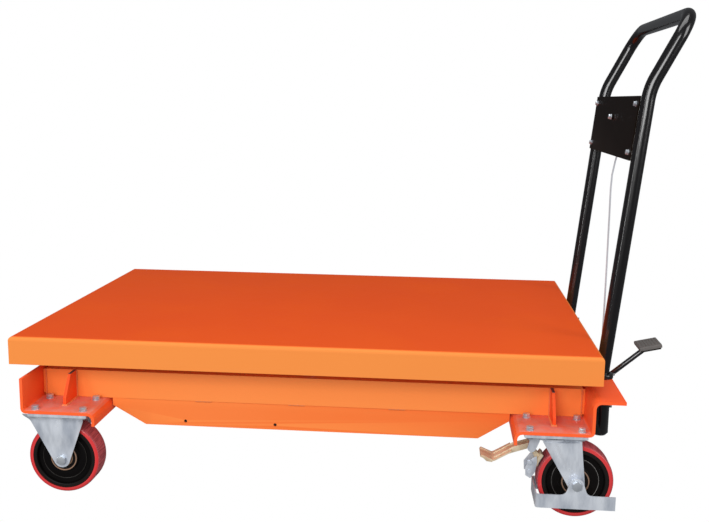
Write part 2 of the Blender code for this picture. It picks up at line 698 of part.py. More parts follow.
def foot_pump(base):
    """Pump casting on the rear wall, its tank, plunger, pedal and release valve arm."""
    px, _, pz = PEDAL_PIVOT
    back = REAR_WALL_X + GAP
    floor = 0.082
    top = 0.120
    plunger_x = px + 0.020
    plunger_radius = 0.0065
    half = 0.030
    body = add("pump_body", box((back, px + 0.034), (-half, half), (floor, top)), BLACK, base)
    join(body, box((back + 0.0003, back + 0.012), (-half - 0.008, half + 0.008), (floor + 0.003, 0.236)))
    for side in SIDES.values():
        ear = [(px - 0.036, top - 0.004), (px + 0.010, top - 0.004)] + arc((px, pz), 0.010, 0, 90, 5) \
            + [(px - 0.036, pz + 0.014)]
        join(body, outline_plate(ear, both(side, 0.0125, 0.0185)))
        join(body, cross_rod(px, pz, both(side, 0.0075, 0.0150), 0.005, 12))
    join(body, rod((plunger_x, 0, top - 0.004), (plunger_x, 0, top + 0.002), 0.0115, 20))
    cut(body, rod((plunger_x, 0, floor + 0.008), (plunger_x, 0, top + 0.01), plunger_radius + RUNNING_GAP, 20))
    lower_side = pz + (0.020 - plunger_radius) * tan(PEDAL_ANGLE) - PEDAL_ROD_RADIUS / cos(PEDAL_ANGLE)
    plunger_top = lower_side - 0.0008
    travel = PLUNGER_TRAVEL
    slide = pivot("plunger_slide", (plunger_x, 0, plunger_top), base)
    profile = [(0, 0), (plunger_radius - 0.001, 0), (plunger_radius, -0.001),
               (plunger_radius, floor + 0.0105 + travel - plunger_top), (0, floor + 0.0105 + travel - plunger_top)]
    add("pump_plunger", turned(profile, (plunger_x, 0, plunger_top), (0, 0, 1), 20), CHROME, slide)

    tank = add("oil_reservoir", rounded_box((back, back + 0.062), (half + 0.0085, half + 0.112),
                                            (0.098, 0.205), 0.010, 3), BLACK, base)
    cap_x, cap_y = back + 0.034, half + 0.085
    join(tank, rod((cap_x, cap_y, 0.200), (cap_x, cap_y, 0.213), 0.011, 16))

    turn = pivot("pedal_pivot", PEDAL_PIVOT, base)
    reach = Vector((cos(PEDAL_ANGLE), 0, sin(PEDAL_ANGLE)))
    start = Vector(PEDAL_PIVOT)
    tip = start + reach * PEDAL_ROD_LENGTH
    lever = add("pedal_arm", rod(start, tip, PEDAL_ROD_RADIUS, 20), BLACK, turn)
    join(lever, cross_rod(px, pz, (-0.0120, 0.0120), 0.0095, 24))
    for side in SIDES.values():
        cut(lever, cross_rod(px, pz, both(side, 0.0070, 0.02), 0.005 + RUNNING_GAP, 16))
    tilt = Matrix.Rotation(-PAD_TILT, 4, "Y")
    pad_centre = tip + Vector((0.003, 0, PAD_THICK / 2 + 0.003))
    pad = rounded_box((-PAD_LENGTH / 2, PAD_LENGTH / 2), (-PAD_WIDTH / 2, PAD_WIDTH / 2),
                      (-PAD_THICK / 2, PAD_THICK / 2), 0.002, 2)
    pad.transform(Matrix.Translation(pad_centre) @ tilt)
    pedal = add("pedal_pad", pad, RUBBER, turn)
    plate = box((-PAD_LENGTH / 2 + 0.003, PAD_LENGTH / 2 - 0.003), (-PAD_WIDTH / 2 + 0.003, PAD_WIDTH / 2 - 0.003),
                (-PAD_THICK / 2 - 0.0033, -PAD_THICK / 2 - GAP))
    plate.transform(Matrix.Translation(pad_centre) @ tilt)
    join(lever, plate)
    under = box((-0.1, 0.1), (-0.1, 0.1), (-PAD_THICK / 2 - GAP, 0.1))
    under.transform(Matrix.Translation(pad_centre) @ tilt)
    cut(lever, under)

    valve = (back + 0.032, -half - GAP, 0.104)
    turn = pivot("valve_pivot", valve, base)
    arm_y = (-half - 0.0095, -half - 0.0045)
    outline = arc((valve[0], valve[2]), 0.008, 110, 290, 6) + arc((valve[0] + 0.030, valve[2] + 0.010), 0.005, -70, 110, 5)
    lever = add("release_valve_arm", outline_plate(outline, arm_y), GOLD, turn)
    join(lever, cross_rod(valve[0], valve[2], (-half - 0.0135, -half - GAP), 0.0055, 16))
    return valve


def hydraulic_hose(base):
    """From the back of the pump, under the rear beam, to the port beside the gland."""
    port_x = BARREL_END_X - GLAND_LENGTH - 0.020
    route = [(REAR_WALL_X - 0.0003, 0.018, 0.110), (REAR_WALL_X - 0.045, 0.019, 0.112), (0.480, 0.026, 0.122),
             (0.420, 0.040, 0.132), (0.350, 0.058, 0.150), (0.280, 0.070, 0.167), (0.215, 0.072, 0.183),
             (0.180, 0.070, 0.196), (0.158, 0.061, 0.208), (port_x, 0.047, LOWER_Z), (port_x, BARREL_RADIUS + 0.0013, LOWER_Z)]
    mesh = tube_along(smooth_route(route, 20), 0.007, resolution=2, name="hydraulic_hose")
    return add("hydraulic_hose", mesh, BLACK, base)


# ---------------------------------------------------------------- handle
def handle_line():
    """Centre line of one leg, from its foot to the middle of the cross bar."""
    foot = (HANDLE_FOOT_X, -HANDLE_Y, SOCKET_BOTTOM + 0.012)
    knee = (HANDLE_FOOT_X, -HANDLE_Y, HANDLE_KNEE_Z)
    bend = (HANDLE_BEND_X, -HANDLE_Y, HANDLE_BEND_Z)
    corner = (HANDLE_TOP_X, -HANDLE_Y, HANDLE_TOP_Z)
    return foot, knee, bend, corner


def round_corner(before, corner, after, radius, count):
    before, corner, after = Vector(before), Vector(corner), Vector(after)
    back = (before - corner).normalized()
    ahead = (after - corner).normalized()
    half = back.angle(ahead) / 2
    reach = radius / tan(half)
    centre = corner + (back + ahead).normalized() * reach / cos(half)
    first = corner + back * reach - centre
    normal = back.cross(ahead).normalized()
    turn = pi - 2 * half
    points = []
    for i in range(count + 1):
        spoke = first.copy()
        spoke.rotate(Matrix.Rotation(-turn * i / count, 3, normal))
        points.append(centre + spoke)
    return points


def handle_tube(base):
    foot, knee, bend, corner = handle_line()
    across = (corner[0], 0, corner[2])
    side = [Vector(foot)]
    side += round_corner(foot, knee, bend, 0.10, 2)
    side += round_corner(knee, bend, corner, 0.13, 4)
    side += round_corner(bend, corner, across, HANDLE_CORNER, 6)
    mirrored = [Vector((p.x, -p.y, p.z)) for p in reversed(side)]
    mesh = tube_along(side + mirrored, HANDLE_RADIUS, resolution=4, name="handle_tube")
    return add("handle_tube", mesh, BLACK, base, smooth=40)


def handle_socket(word, side, base):
    """Sleeve under the shelf with a collar on top, which holds a handle leg."""
    bore = HANDLE_RADIUS + 0.0006
    top = BEAM_WALL_TOP + SOCKET_RISE
    seat = BEAM_WALL_TOP + GAP
    shift = HANDLE_FOOT_X - SOCKET_X
    profile = [(0.0, top), (SOCKET_FLANGE_RADIUS - 0.003, top), (SOCKET_FLANGE_RADIUS, top - 0.003),
               (SOCKET_FLANGE_RADIUS, seat), (SOCKET_RADIUS, seat), (SOCKET_RADIUS, SOCKET_BOTTOM + 0.005),
               (SOCKET_RADIUS - 0.005, SOCKET_BOTTOM), (0.0, SOCKET_BOTTOM)]
    sleeve = turned(profile, (SOCKET_X, side * HANDLE_Y, 0), (0, 0, 1), 24, name="socket")
    obj = add("handle_socket_" + word, sleeve, BLACK, base)
    x = SOCKET_X + shift
    cut(obj, rod((x, side * HANDLE_Y, SOCKET_BOTTOM + 0.012 - GAP), (x, side * HANDLE_Y, top + 0.01),
                 bore, 20))
    return obj


def leg_x(z):
    """Centre of a handle leg at a height between its knee and its bend."""
    return HANDLE_FOOT_X + (z - HANDLE_KNEE_Z) * (HANDLE_BEND_X - HANDLE_FOOT_X) / (HANDLE_BEND_Z - HANDLE_KNEE_Z)


def control_panel(base):
    lean = Vector((HANDLE_BEND_X - HANDLE_FOOT_X, 0, HANDLE_BEND_Z - HANDLE_KNEE_Z)).normalized()
    face = HANDLE_RADIUS / lean.z + GAP
    corners = []
    for z, inset in ((PANEL_BOTTOM, 0), (PANEL_TOP, 0)):
        corners.append((leg_x(z) - face, z))
    (x0, z0), (x1, z1) = corners
    outline = [(x0 - PANEL_SHEET, z0), (x0, z0), (x1, z1), (x1 - PANEL_SHEET, z1)]
    panel = add("control_panel", outline_plate(outline, (-PANEL_HALF, PANEL_HALF)), BLACK, base)
    pivot_z = 0.785
    pivot_x = leg_x(pivot_z) - face
    normal = Vector((lean.z, 0, -lean.x))
    centre = Vector((pivot_x, 0, pivot_z))
    join(panel, rod(centre - normal * 0.006, centre + normal * 0.012, 0.005, 16))
    turn = pivot("lever_pivot", centre, base)
    plate = [(-0.030 + a, b) for a, b in arc((0, 0), 0.010, 90, 270, 6)] \
        + [(0.085 + a, b) for a, b in arc((0, 0), 0.006, -90, 90, 6)]
    bar = outline_plate(plate, (-0.0075, -0.0030), "release_lever")
    # laid flat on the operator's side of the panel: outline X along Y, thickness along the normal
    frame = Matrix(((0, -normal.x, lean.x, 0), (1, 0, 0, 0), (0, -normal.z, lean.z, 0), (0, 0, 0, 1)))
    bar.transform(Matrix.Translation(centre) @ frame)
    lever = add("release_lever", bar, BLACK, turn)
    cut(lever, rod(centre - normal * 0.01, centre + normal * 0.03, 0.005 + RUNNING_GAP, 16))
    knob_at = centre + Vector((0, 0.078, 0)) + normal * 0.0070
    join(lever, rod(knob_at, knob_at + normal * 0.026, 0.009, 20))
    return centre, normal, lean


def release_cable(base, panel, valve):
    centre, normal, lean = panel
    top = centre + Vector((0, -0.033, 0)) + normal * 0.0105
    end = Vector((valve[0] + 0.030, valve[1] - 0.0124, valve[2] + 0.006))
    y = -0.036
    route = [tuple(top), (leg_x(0.735) + 0.004, -0.034, 0.735), (0.658, y, 0.660), (0.6570, y, 0.560),
             (0.6575, y, 0.450), (0.6575, y, 0.340), (0.6565, y, 0.260), (0.655, y - 0.002, 0.205),
             (0.650, y - 0.006, 0.160), (end.x, end.y, end.z + 0.010), tuple(end)]
    mesh = tube_along(smooth_route(route, 22), 0.0023, resolution=1, name="release_cable")
    return add("release_cable", mesh, CABLE, base)


# ---------------------------------------------------------------- casters
def leg_outline(top_front, top_rear, top_z, axle_x, foot_radius):
    """A fork leg: two straight edges running down to a round foot about the axle."""
    points = [(top_rear, top_z), (top_front, top_z)]
    centre = Vector((axle_x, WHEEL_RADIUS))
    angles = []
    for x in (top_front, top_rear):
        edge = Vector((x, top_z)) - centre
        spread = asin(foot_radius / edge.length)
        side = 1 if x == top_front else -1
        angles.append(Vector((1, 0)).angle_signed(edge) * -1 + side * (pi / 2 - spread))
    start, end = angles[0] * 180 / pi, angles[1] * 180 / pi
    while end < start:
        end += 360
    return points + arc(tuple(centre), foot_radius, start, end, 12)


def wheel(word, axle_x, side, parent):
    y = side * CASTER_Y
    half = WHEEL_WIDTH / 2
    bore = WHEEL_AXLE_RADIUS + RUNNING_GAP
    profile = [(CORE_RADIUS, half - 0.002), (CORE_RADIUS, -half + 0.002), (CORE_RADIUS - 0.008, -half + 0.002),
               (CORE_RADIUS - 0.010, -half + 0.007), (0.030, -half + 0.007), (0.0285, -half), (bore, -half),
               (bore, half), (0.0285, half), (0.030, half - 0.007), (CORE_RADIUS - 0.010, half - 0.007),
               (CORE_RADIUS - 0.008, half - 0.002)]
    core = turned(profile, (axle_x, y, WHEEL_RADIUS), (0, 1, 0), 24, closed=True, name="core")
    add("wheel_core_" + word, core, IRON, parent)
    inner = CORE_RADIUS + GAP + 0.0006
    tread = [(WHEEL_RADIUS - 0.004, half)] + [(WHEEL_RADIUS, half - 0.005), (WHEEL_RADIUS, -half + 0.005)] \
        + [(WHEEL_RADIUS - 0.004, -half), (inner, -half), (inner, half)]
    tyre = turned(tread, (axle_x, y, WHEEL_RADIUS), (0, 1, 0), 32, closed=True, name="tyre")
    add("tyre_" + word, tyre, TYRE, parent)


def wheel_axle(word, axle_x, side, parent):
    """Hexagon bolt through the fork, with its nut."""
    y = side * CASTER_Y
    face = FORK_GAP + FORK_SHEET + GAP
    bolt = add("wheel_axle_" + word, cross_rod(axle_x, WHEEL_RADIUS, (y - face - 0.001, y + face + 0.009),
                                               WHEEL_AXLE_RADIUS, 20), ZINC, parent)
    for end, depth in ((-1, 0.0068), (1, 0.0075)):
        span = tuple(sorted((y + end * face, y + end * (face + depth))))
        join(bolt, cross_rod(axle_x, WHEEL_RADIUS, span, 0.0105, 6))
    return bolt


def bolt_holes(plate, x, y, z):
    for dx in (-BOLT_PITCH_X / 2, BOLT_PITCH_X / 2):
        for dy in (-BOLT_PITCH_Y / 2, BOLT_PITCH_Y / 2):
            cut(plate, rod((x + dx, y + dy, z - 0.01), (x + dx, y + dy, z + 0.02), BOLT_HOLE / 2, 12))


def top_plate_box(x, y):
    length, width, sheet = TOP_PLATE
    top = PLATE_BOTTOM - GAP
    return box((x - length / 2, x + length / 2), (y - width / 2, y + width / 2), (top - sheet, top))


def fork_axle_hole(fork, axle_x, y):
    cut(fork, cross_rod(axle_x, WHEEL_RADIUS, (y - 0.06, y + 0.06), WHEEL_AXLE_RADIUS + RUNNING_GAP, 20))


def fixed_caster(word, side, base):
    x, y = FIXED_CASTER_X, side * CASTER_Y
    name = "fixed_" + word
    fork = add("fork_" + name, top_plate_box(x, y), ZINC, base)
    leg = leg_outline(x - 0.062, x + 0.045, PLATE_BOTTOM - GAP - 0.002, x, 0.0165)
    for hand in (-1, 1):
        span = tuple(sorted((y + hand * FORK_GAP, y + hand * (FORK_GAP + FORK_SHEET))))
        join(fork, outline_plate(leg, span))
    bolt_holes(fork, x, y, PLATE_BOTTOM)
    fork_axle_hole(fork, x, y)
    spin = pivot("spin_" + name, (x, y, WHEEL_RADIUS), base)
    wheel(name, x, side, spin)
    wheel_axle(name, x, side, base)


def swivel_caster(word, side, base):
    x, y = SWIVEL_CASTER_X, side * CASTER_Y
    name = "swivel_" + word
    top = PLATE_BOTTOM - GAP - TOP_PLATE[2]
    mount = add("caster_plate_" + word, top_plate_box(x, y), ZINC, base)
    # king pin and the cup that the fork turns on
    cup = turned([(0, top + 0.002), (0.036, top + 0.002), (0.036, top - 0.003), (0.033, top - 0.006),
                  (0.008, top - 0.006), (0.008, top - 0.0145), (0.014, top - 0.0145), (0.014, top - 0.0180),
                  (0, top - 0.0180)], (x, y, 0), (0, 0, 1), 20)
    join(mount, cup)
    bolt_holes(mount, x, y, PLATE_BOTTOM)

    turn = pivot("swivel_" + word, (x, y, top), base)
    axle_x = x + SWIVEL_TRAIL
    crown_top = top - 0.006 - 0.0004
    crown_sheet = 0.004
    crown = turned([(0.038, crown_top - 0.002), (0.038, crown_top - crown_sheet - 0.001),
                    (0.0086, crown_top - crown_sheet - 0.001), (0.0086, crown_top)]
                   + [(0.036, crown_top)], (x, y, 0), (0, 0, 1), 24, closed=True)
    fork = add("swivel_fork_" + word, crown, ZINC, turn)
    cover = box((x - 0.0295, x + 0.0525), (y - FORK_GAP - FORK_SHEET + 0.0002, y + FORK_GAP + FORK_SHEET - 0.0002),
                (crown_top - crown_sheet, crown_top - 0.0005))
    join(fork, cover)
    leg = leg_outline(x - 0.024, x + 0.052, crown_top - 0.001, axle_x, 0.0165)
    for hand in (-1, 1):
        span = tuple(sorted((y + hand * FORK_GAP, y + hand * (FORK_GAP + FORK_SHEET))))
        join(fork, outline_plate(leg, span))
    cut(fork, rod((x, y, crown_top - 0.02), (x, y, crown_top + 0.01), 0.0092, 20))
    fork_axle_hole(fork, axle_x, y)
    # ears that carry the brake pedal
    pedal_at = (x - 0.043, 0.139)
    for hand in (-1, 1):
        span = tuple(sorted((y + hand * 0.0165, y + hand * 0.0195)))
        ear = [(x - 0.028, crown_top - 0.001), (x - 0.046, crown_top - 0.003)] + \
            arc(pedal_at, 0.0085, 150, 330, 6) + [(x - 0.028, crown_top - 0.012)]
        join(fork, outline_plate(ear, span))
        join(fork, cross_rod(*pedal_at, tuple(sorted((y + hand * 0.0060, y + hand * 0.018))), 0.003, 12))
    spin = pivot("spin_" + name, (axle_x, y, WHEEL_RADIUS), turn)
    wheel(name, axle_x, side, spin)
    wheel_axle(name, axle_x, side, turn)
    toe_guard(word, axle_x, y, turn)
    brake_pedal(word, pedal_at, axle_x, y, turn)


def toe_guard(word, axle_x, y, parent):
    """Band round the front of the wheel, with a tab up to the axle on each side."""
    half = FORK_GAP + FORK_SHEET + 0.0105 + GUARD_SHEET
    low, high = 0.027, 0.055
    front = axle_x - 0.0790
    line = rounded([(axle_x + 0.076, y + half), (front, y + half), (front, y - half), (axle_x + 0.076, y - half)],
                   0.012, 4)
    band = folded_sheet(line, (-0.5, 0.5), GUARD_SHEET, "toe_guard")
    # drawn in plan: the drawing's Z becomes Y, and its thickness becomes the height
    band.transform(Matrix(((1, 0, 0, 0), (0, 0, 1, 0), (0, -(high - low), 0, (low + high) / 2), (0, 0, 0, 1))))
    guard = add("toe_guard_" + word, band, ZINC, parent)
    for hand in (-1, 1):
        tab = [(axle_x - 0.026, high - 0.006), (axle_x + 0.032, high - 0.006), (axle_x + 0.032, high)] + \
            arc((axle_x, WHEEL_RADIUS), 0.0150, 20, 160, 8) + [(axle_x - 0.026, high)]
        # the tab is drawn in from the band to lie under the axle bolt's head
        face = FORK_GAP + FORK_SHEET + 0.0105
        span = tuple(sorted((y + hand * (face + 0.0002), y + hand * (face + GUARD_SHEET - 0.0002))))
        join(guard, outline_plate(tab, span))
        inner = FORK_GAP + FORK_SHEET + GAP
        boss = tuple(sorted((y + hand * inner, y + hand * (face + 0.001))))
        join(guard, cross_rod(axle_x, WHEEL_RADIUS, boss, 0.0140, 20))
        cut(guard, cross_rod(axle_x, WHEEL_RADIUS, tuple(sorted((y + hand * 0.03, y + hand * 0.08))), 0.0112, 20))


def brake_pedal(word, at, axle_x, y, parent):
    """Foot pedal with a shoe below its pivot that presses on the tread."""
    turn = pivot("brake_pivot_" + word, (at[0], y, at[1]), parent)
    line = rounded([(at[0] + 0.004, at[1] + 0.0065), (at[0] - 0.036, at[1] - 0.004),
                    (at[0] - 0.076, at[1] - 0.028), (at[0] - 0.098, at[1] - 0.020)], 0.010, 3)
    pedal = add("brake_pedal_" + word, folded_sheet(line, (y - 0.0105, y + 0.0105), 0.003), GOLD, turn)
    wide = rounded([(at[0] - 0.040, at[1] - 0.0061), (at[0] - 0.0765, at[1] - 0.0277), (at[0] - 0.1000, at[1] - 0.0185)],
                   0.010, 3)
    join(pedal, folded_sheet(wide, (y - 0.0240, y + 0.0240), 0.0027))
    hub = cross_rod(*at, (y - 0.0105, y + 0.0105), 0.0080, 20)
    join(pedal, hub)
    shoe = arc((axle_x, WHEEL_RADIUS), WHEEL_RADIUS + 0.0045, 143, 162, 5) + \
        arc((axle_x, WHEEL_RADIUS), WHEEL_RADIUS + 0.0105, 162, 143, 5)
    join(pedal, outline_plate(shoe, (y - 0.0155, y + 0.0155)))
    back = arc((axle_x, WHEEL_RADIUS), WHEEL_RADIUS + 0.0075, 147, 156, 2) + \
        [(at[0] - 0.005, at[1]), (at[0] + 0.004, at[1] - 0.003)]
    join(pedal, outline_plate(back, (y - 0.0060, y + 0.0060)))
    cut(pedal, cross_rod(*at, (y - 0.03, y + 0.03), 0.003 + RUNNING_GAP, 12))


# ---------------------------------------------------------------- assembly
def centre_on_floor(root):
    """Move the table so that the origin is under the middle of its outline."""
    bpy.context.view_layer.update()
    graph = bpy.context.evaluated_depsgraph_get()
    xs = []
    for obj in parts.objects:
        if obj.type == "MESH":
            shape = obj.evaluated_get(graph)
            xs += [(shape.matrix_world @ Vector(corner)).x for corner in shape.bound_box]
    root.location.x = -(min(xs) + max(xs)) / 2


clear_scene()
parts = collection("scissor_lift_table")
cutters = collection("cutters")
table = pivot("table", (0, 0, 0), None)

front_cross_beam(table)
rear_cross_beam(table)
for word, side in SIDES.items():
    side_rail(word, side, table)
deck_carrier, ram_carrier = scissor(table)
platform_deck(deck_carrier)
for word, side in SIDES.items():
    platform_rail(word, side, deck_carrier)
cylinder(table, ram_carrier)
valve_place = foot_pump(table)
hydraulic_hose(table)
handle_tube(table)
panel_place = control_panel(table)
release_cable(table, panel_place, valve_place)
for word, side in SIDES.items():
    handle_socket(word, side, table)
    fixed_caster(word, side, table)
    swivel_caster(word, side, table)
centre_on_floor(table)
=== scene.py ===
import json
import math
import bpy
import bmesh
from mathutils import Matrix, Vector


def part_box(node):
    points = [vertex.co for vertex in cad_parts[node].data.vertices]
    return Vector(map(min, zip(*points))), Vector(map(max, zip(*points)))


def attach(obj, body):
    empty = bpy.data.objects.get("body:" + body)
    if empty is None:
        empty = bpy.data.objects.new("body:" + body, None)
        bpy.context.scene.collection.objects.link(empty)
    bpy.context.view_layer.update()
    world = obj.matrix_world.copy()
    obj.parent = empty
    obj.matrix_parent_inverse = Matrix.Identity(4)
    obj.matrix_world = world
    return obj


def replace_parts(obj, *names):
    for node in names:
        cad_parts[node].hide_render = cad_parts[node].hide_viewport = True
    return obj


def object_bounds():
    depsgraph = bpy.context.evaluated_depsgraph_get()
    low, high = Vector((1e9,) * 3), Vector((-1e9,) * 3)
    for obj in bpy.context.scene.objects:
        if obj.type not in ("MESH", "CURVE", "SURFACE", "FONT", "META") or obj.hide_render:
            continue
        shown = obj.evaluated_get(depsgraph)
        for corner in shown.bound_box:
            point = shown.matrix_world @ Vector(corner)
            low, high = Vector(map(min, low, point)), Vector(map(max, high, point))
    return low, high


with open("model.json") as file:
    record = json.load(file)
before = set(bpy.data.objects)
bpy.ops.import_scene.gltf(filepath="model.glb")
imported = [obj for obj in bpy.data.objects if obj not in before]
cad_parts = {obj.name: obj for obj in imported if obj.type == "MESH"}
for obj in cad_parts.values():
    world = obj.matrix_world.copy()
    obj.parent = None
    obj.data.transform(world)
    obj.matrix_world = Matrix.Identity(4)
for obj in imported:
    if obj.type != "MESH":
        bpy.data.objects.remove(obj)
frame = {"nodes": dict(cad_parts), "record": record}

startBounds = [list(corner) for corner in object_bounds()]
shiftX = startBounds[0][0] + 0.6
sides = {"right": -1, "left": 1}
print("frame loaded")

# places on the table, in metres
table = {"plateTop": 0.183, "railFace": 0.323, "casterY": 0.3765,
         "frontX": -0.4912 + shiftX, "rearX": 0.511 + shiftX,
         "boltStepX": 0.0505, "boltStepY": 0.0375}
wheel = {"radius": 0.075, "core": 0.066, "half": 0.0235, "bore": 0.0063, "trail": 0.0447}
handle = {"radius": 0.014, "legY": 0.2575, "footX": 0.6215 + shiftX, "footZ": 0.139, "kneeZ": 0.262,
          "bendX": 0.682 + shiftX, "bendZ": 0.846, "topX": 0.757 + shiftX, "topZ": 0.992,
          "kneeRound": 0.10, "bendRound": 0.13, "cornerRound": 0.055}
socket = {"x": 0.6225 + shiftX, "radius": 0.0175, "collar": 0.0215, "bottom": 0.126, "top": 0.260,
          "collarZ": 0.2503}


def srgb(red, green, blue):
    values = []
    for channel in (red, green, blue):
        part = channel / 255
        values.append(part / 12.92 if part <= 0.04045 else ((part + 0.055) / 1.055) ** 2.4)
    return (*values, 1.0)


def newGroup(name, inputs, outputs):
    group = bpy.data.node_groups.new(name, "ShaderNodeTree")
    for label, kind, value in inputs:
        made = group.interface.new_socket(name=label, in_out="INPUT", socket_type=kind)
        if value is not None:
            made.default_value = value
    for label, kind in outputs:
        group.interface.new_socket(name=label, in_out="OUTPUT", socket_type=kind)
    return group, group.nodes.new("NodeGroupInput"), group.nodes.new("NodeGroupOutput")


def noiseNode(group, vector, scale, detail, roughness=0.55):
    noise = group.nodes.new("ShaderNodeTexNoise")
    noise.inputs["Scale"].default_value = scale
    noise.inputs["Detail"].default_value = detail
    noise.inputs["Roughness"].default_value = roughness
    group.links.new(vector, noise.inputs["Vector"])
    return noise.outputs["Fac"]


def mapRange(group, value, low, high, newLow, newHigh):
    node = group.nodes.new("ShaderNodeMapRange")
    for label, number in (("From Min", low), ("From Max", high), ("To Min", newLow), ("To Max", newHigh)):
        node.inputs[label].default_value = number
    group.links.new(value, node.inputs["Value"])
    return node.outputs["Result"]


def multiply(group, first, second):
    node = group.nodes.new("ShaderNodeMath")
    node.operation = "MULTIPLY"
    group.links.new(first, node.inputs[0])
    if isinstance(second, (int, float)):
        node.inputs[1].default_value = second
    else:
        group.links.new(second, node.inputs[1])
    return node.outputs[0]


def mixColour(group, factor, first, second):
    node = group.nodes.new("ShaderNodeMix")
    node.data_type = "RGBA"
    group.links.new(factor, node.inputs["Factor"])
    group.links.new(first, node.inputs["A"])
    group.links.new(second, node.inputs["B"])
    return node.outputs["Result"]


def bumpNode(group, height, strength, distance):
    node = group.nodes.new("ShaderNodeBump")
    node.inputs["Strength"].default_value = strength
    node.inputs["Distance"].default_value = distance
    group.links.new(height, node.inputs["Height"])
    return node.outputs["Normal"]


def coatGroup():
    group, start, end = newGroup("coatWearAndEdgeSheen", [
        ("Vector", "NodeSocketVector", None), ("Colour", "NodeSocketColor", None),
        ("Dust", "NodeSocketColor", None), ("Dust Amount", "NodeSocketFloat", 0.2),
        ("Edge", "NodeSocketColor", None), ("Edge Amount", "NodeSocketFloat", 0.3),
        ("Roughness", "NodeSocketFloat", 0.3), ("Top Dust", "NodeSocketFloat", 0.0),
        ("Grain", "NodeSocketFloat", 1.0)],
        [("Colour", "NodeSocketColor"), ("Roughness", "NodeSocketFloat"), ("Normal", "NodeSocketVector")])
    vector = start.outputs["Vector"]
    broad = mapRange(group, noiseNode(group, vector, 5.0, 6.0), 0.42, 0.72, 0.0, 1.0)
    dust = multiply(group, broad, start.outputs["Dust Amount"])
    geometry = group.nodes.new("ShaderNodeNewGeometry")
    # lighter colour at sharp edges: wear on the dark parts; on the orange and weld paints a painted
    # highlight, which the bevels spread over whole faces as painted front light
    edges = mapRange(group, geometry.outputs["Pointiness"], 0.515, 0.60, 0.0, 1.0)
    edge = multiply(group, edges, start.outputs["Edge Amount"])
    fine = noiseNode(group, vector, 260.0, 3.0)
    dusty = mixColour(group, dust, start.outputs["Colour"], start.outputs["Dust"])
    split = group.nodes.new("ShaderNodeSeparateXYZ")
    group.links.new(geometry.outputs["Normal"], split.inputs[0])
    facingUp = mapRange(group, split.outputs["Z"], 0.7, 0.95, 0.0, 1.0)
    place = group.nodes.new("ShaderNodeSeparateXYZ")
    group.links.new(vector, place.inputs[0])
    lowDown = mapRange(group, place.outputs["Z"], 0.19, 0.21, 1.0, 0.0)
    upward = multiply(group, multiply(group, facingUp, lowDown), start.outputs["Top Dust"])
    blotch = mapRange(group, noiseNode(group, vector, 38.0, 5.0), 0.32, 0.62, 0.45, 1.0)
    settled = mixColour(group, multiply(group, upward, blotch), dusty, start.outputs["Dust"])
    wornAndSheened = mixColour(group, edge, settled, start.outputs["Edge"])
    add = group.nodes.new("ShaderNodeMath")
    add.operation = "ADD"
    group.links.new(start.outputs["Roughness"], add.inputs[0])
    group.links.new(multiply(group, dust, 0.35), add.inputs[1])
    group.links.new(wornAndSheened, end.inputs["Colour"])
    group.links.new(add.outputs[0], end.inputs["Roughness"])
    group.links.new(bumpNode(group, multiply(group, fine, start.outputs["Grain"]), 0.10, 0.0004),
                    end.inputs["Normal"])
    return group


def platedGroup():
    group, start, end = newGroup("platedMottleAndStreakSheen", [
        ("Vector", "NodeSocketVector", None), ("Light", "NodeSocketColor", None),
        ("Dark", "NodeSocketColor", None)],
        [("Colour", "NodeSocketColor"), ("Roughness", "NodeSocketFloat"), ("Normal", "NodeSocketVector")])
    vector = start.outputs["Vector"]
    # vertically stretched light and dark streaks: partly mottled plating, partly painted reflection streaks
    # like the bright bands on the pressed fork sides
    mapping = group.nodes.new("ShaderNodeMapping")
    mapping.inputs["Scale"].default_value = (1.0, 1.0, 0.30)
    group.links.new(vector, mapping.inputs["Vector"])
    mottleAndSheen = noiseNode(group, mapping.outputs["Vector"], 42.0, 5.0)
    tone = mapRange(group, mottleAndSheen, 0.35, 0.68, 0.0, 1.0)
    colour = mixColour(group, tone, start.outputs["Light"], start.outputs["Dark"])
    group.links.new(colour, end.inputs["Colour"])
    group.links.new(mapRange(group, mottleAndSheen, 0.3, 0.7, 0.26, 0.46), end.inputs["Roughness"])
    group.links.new(bumpNode(group, noiseNode(group, vector, 150.0, 2.0), 0.12, 0.0005), end.inputs["Normal"])
    return group


def treadGroup():
    group, start, end = newGroup("treadStreaks", [
        ("Vector", "NodeSocketVector", None), ("Light", "NodeSocketColor", None),
        ("Dark", "NodeSocketColor", None)],
        [("Colour", "NodeSocketColor"), ("Roughness", "NodeSocketFloat"), ("Normal", "NodeSocketVector")])
    mapping = group.nodes.new("ShaderNodeMapping")
    mapping.inputs["Scale"].default_value = (1.0, 0.06, 1.0)
    group.links.new(start.outputs["Vector"], mapping.inputs["Vector"])
    streak = noiseNode(group, mapping.outputs["Vector"], 420.0, 2.0)
    tone = mapRange(group, streak, 0.38, 0.66, 0.0, 1.0)
    colour = mixColour(group, tone, start.outputs["Light"], start.outputs["Dark"])
    group.links.new(colour, end.inputs["Colour"])
    group.links.new(mapRange(group, streak, 0.3, 0.7, 0.35, 0.6), end.inputs["Roughness"])
    group.links.new(bumpNode(group, streak, 0.35, 0.0004), end.inputs["Normal"])
    return group


# shared effects, each placed in the materials with its own values
groups = {"coat": coatGroup(), "plated": platedGroup(), "tread": treadGroup()}


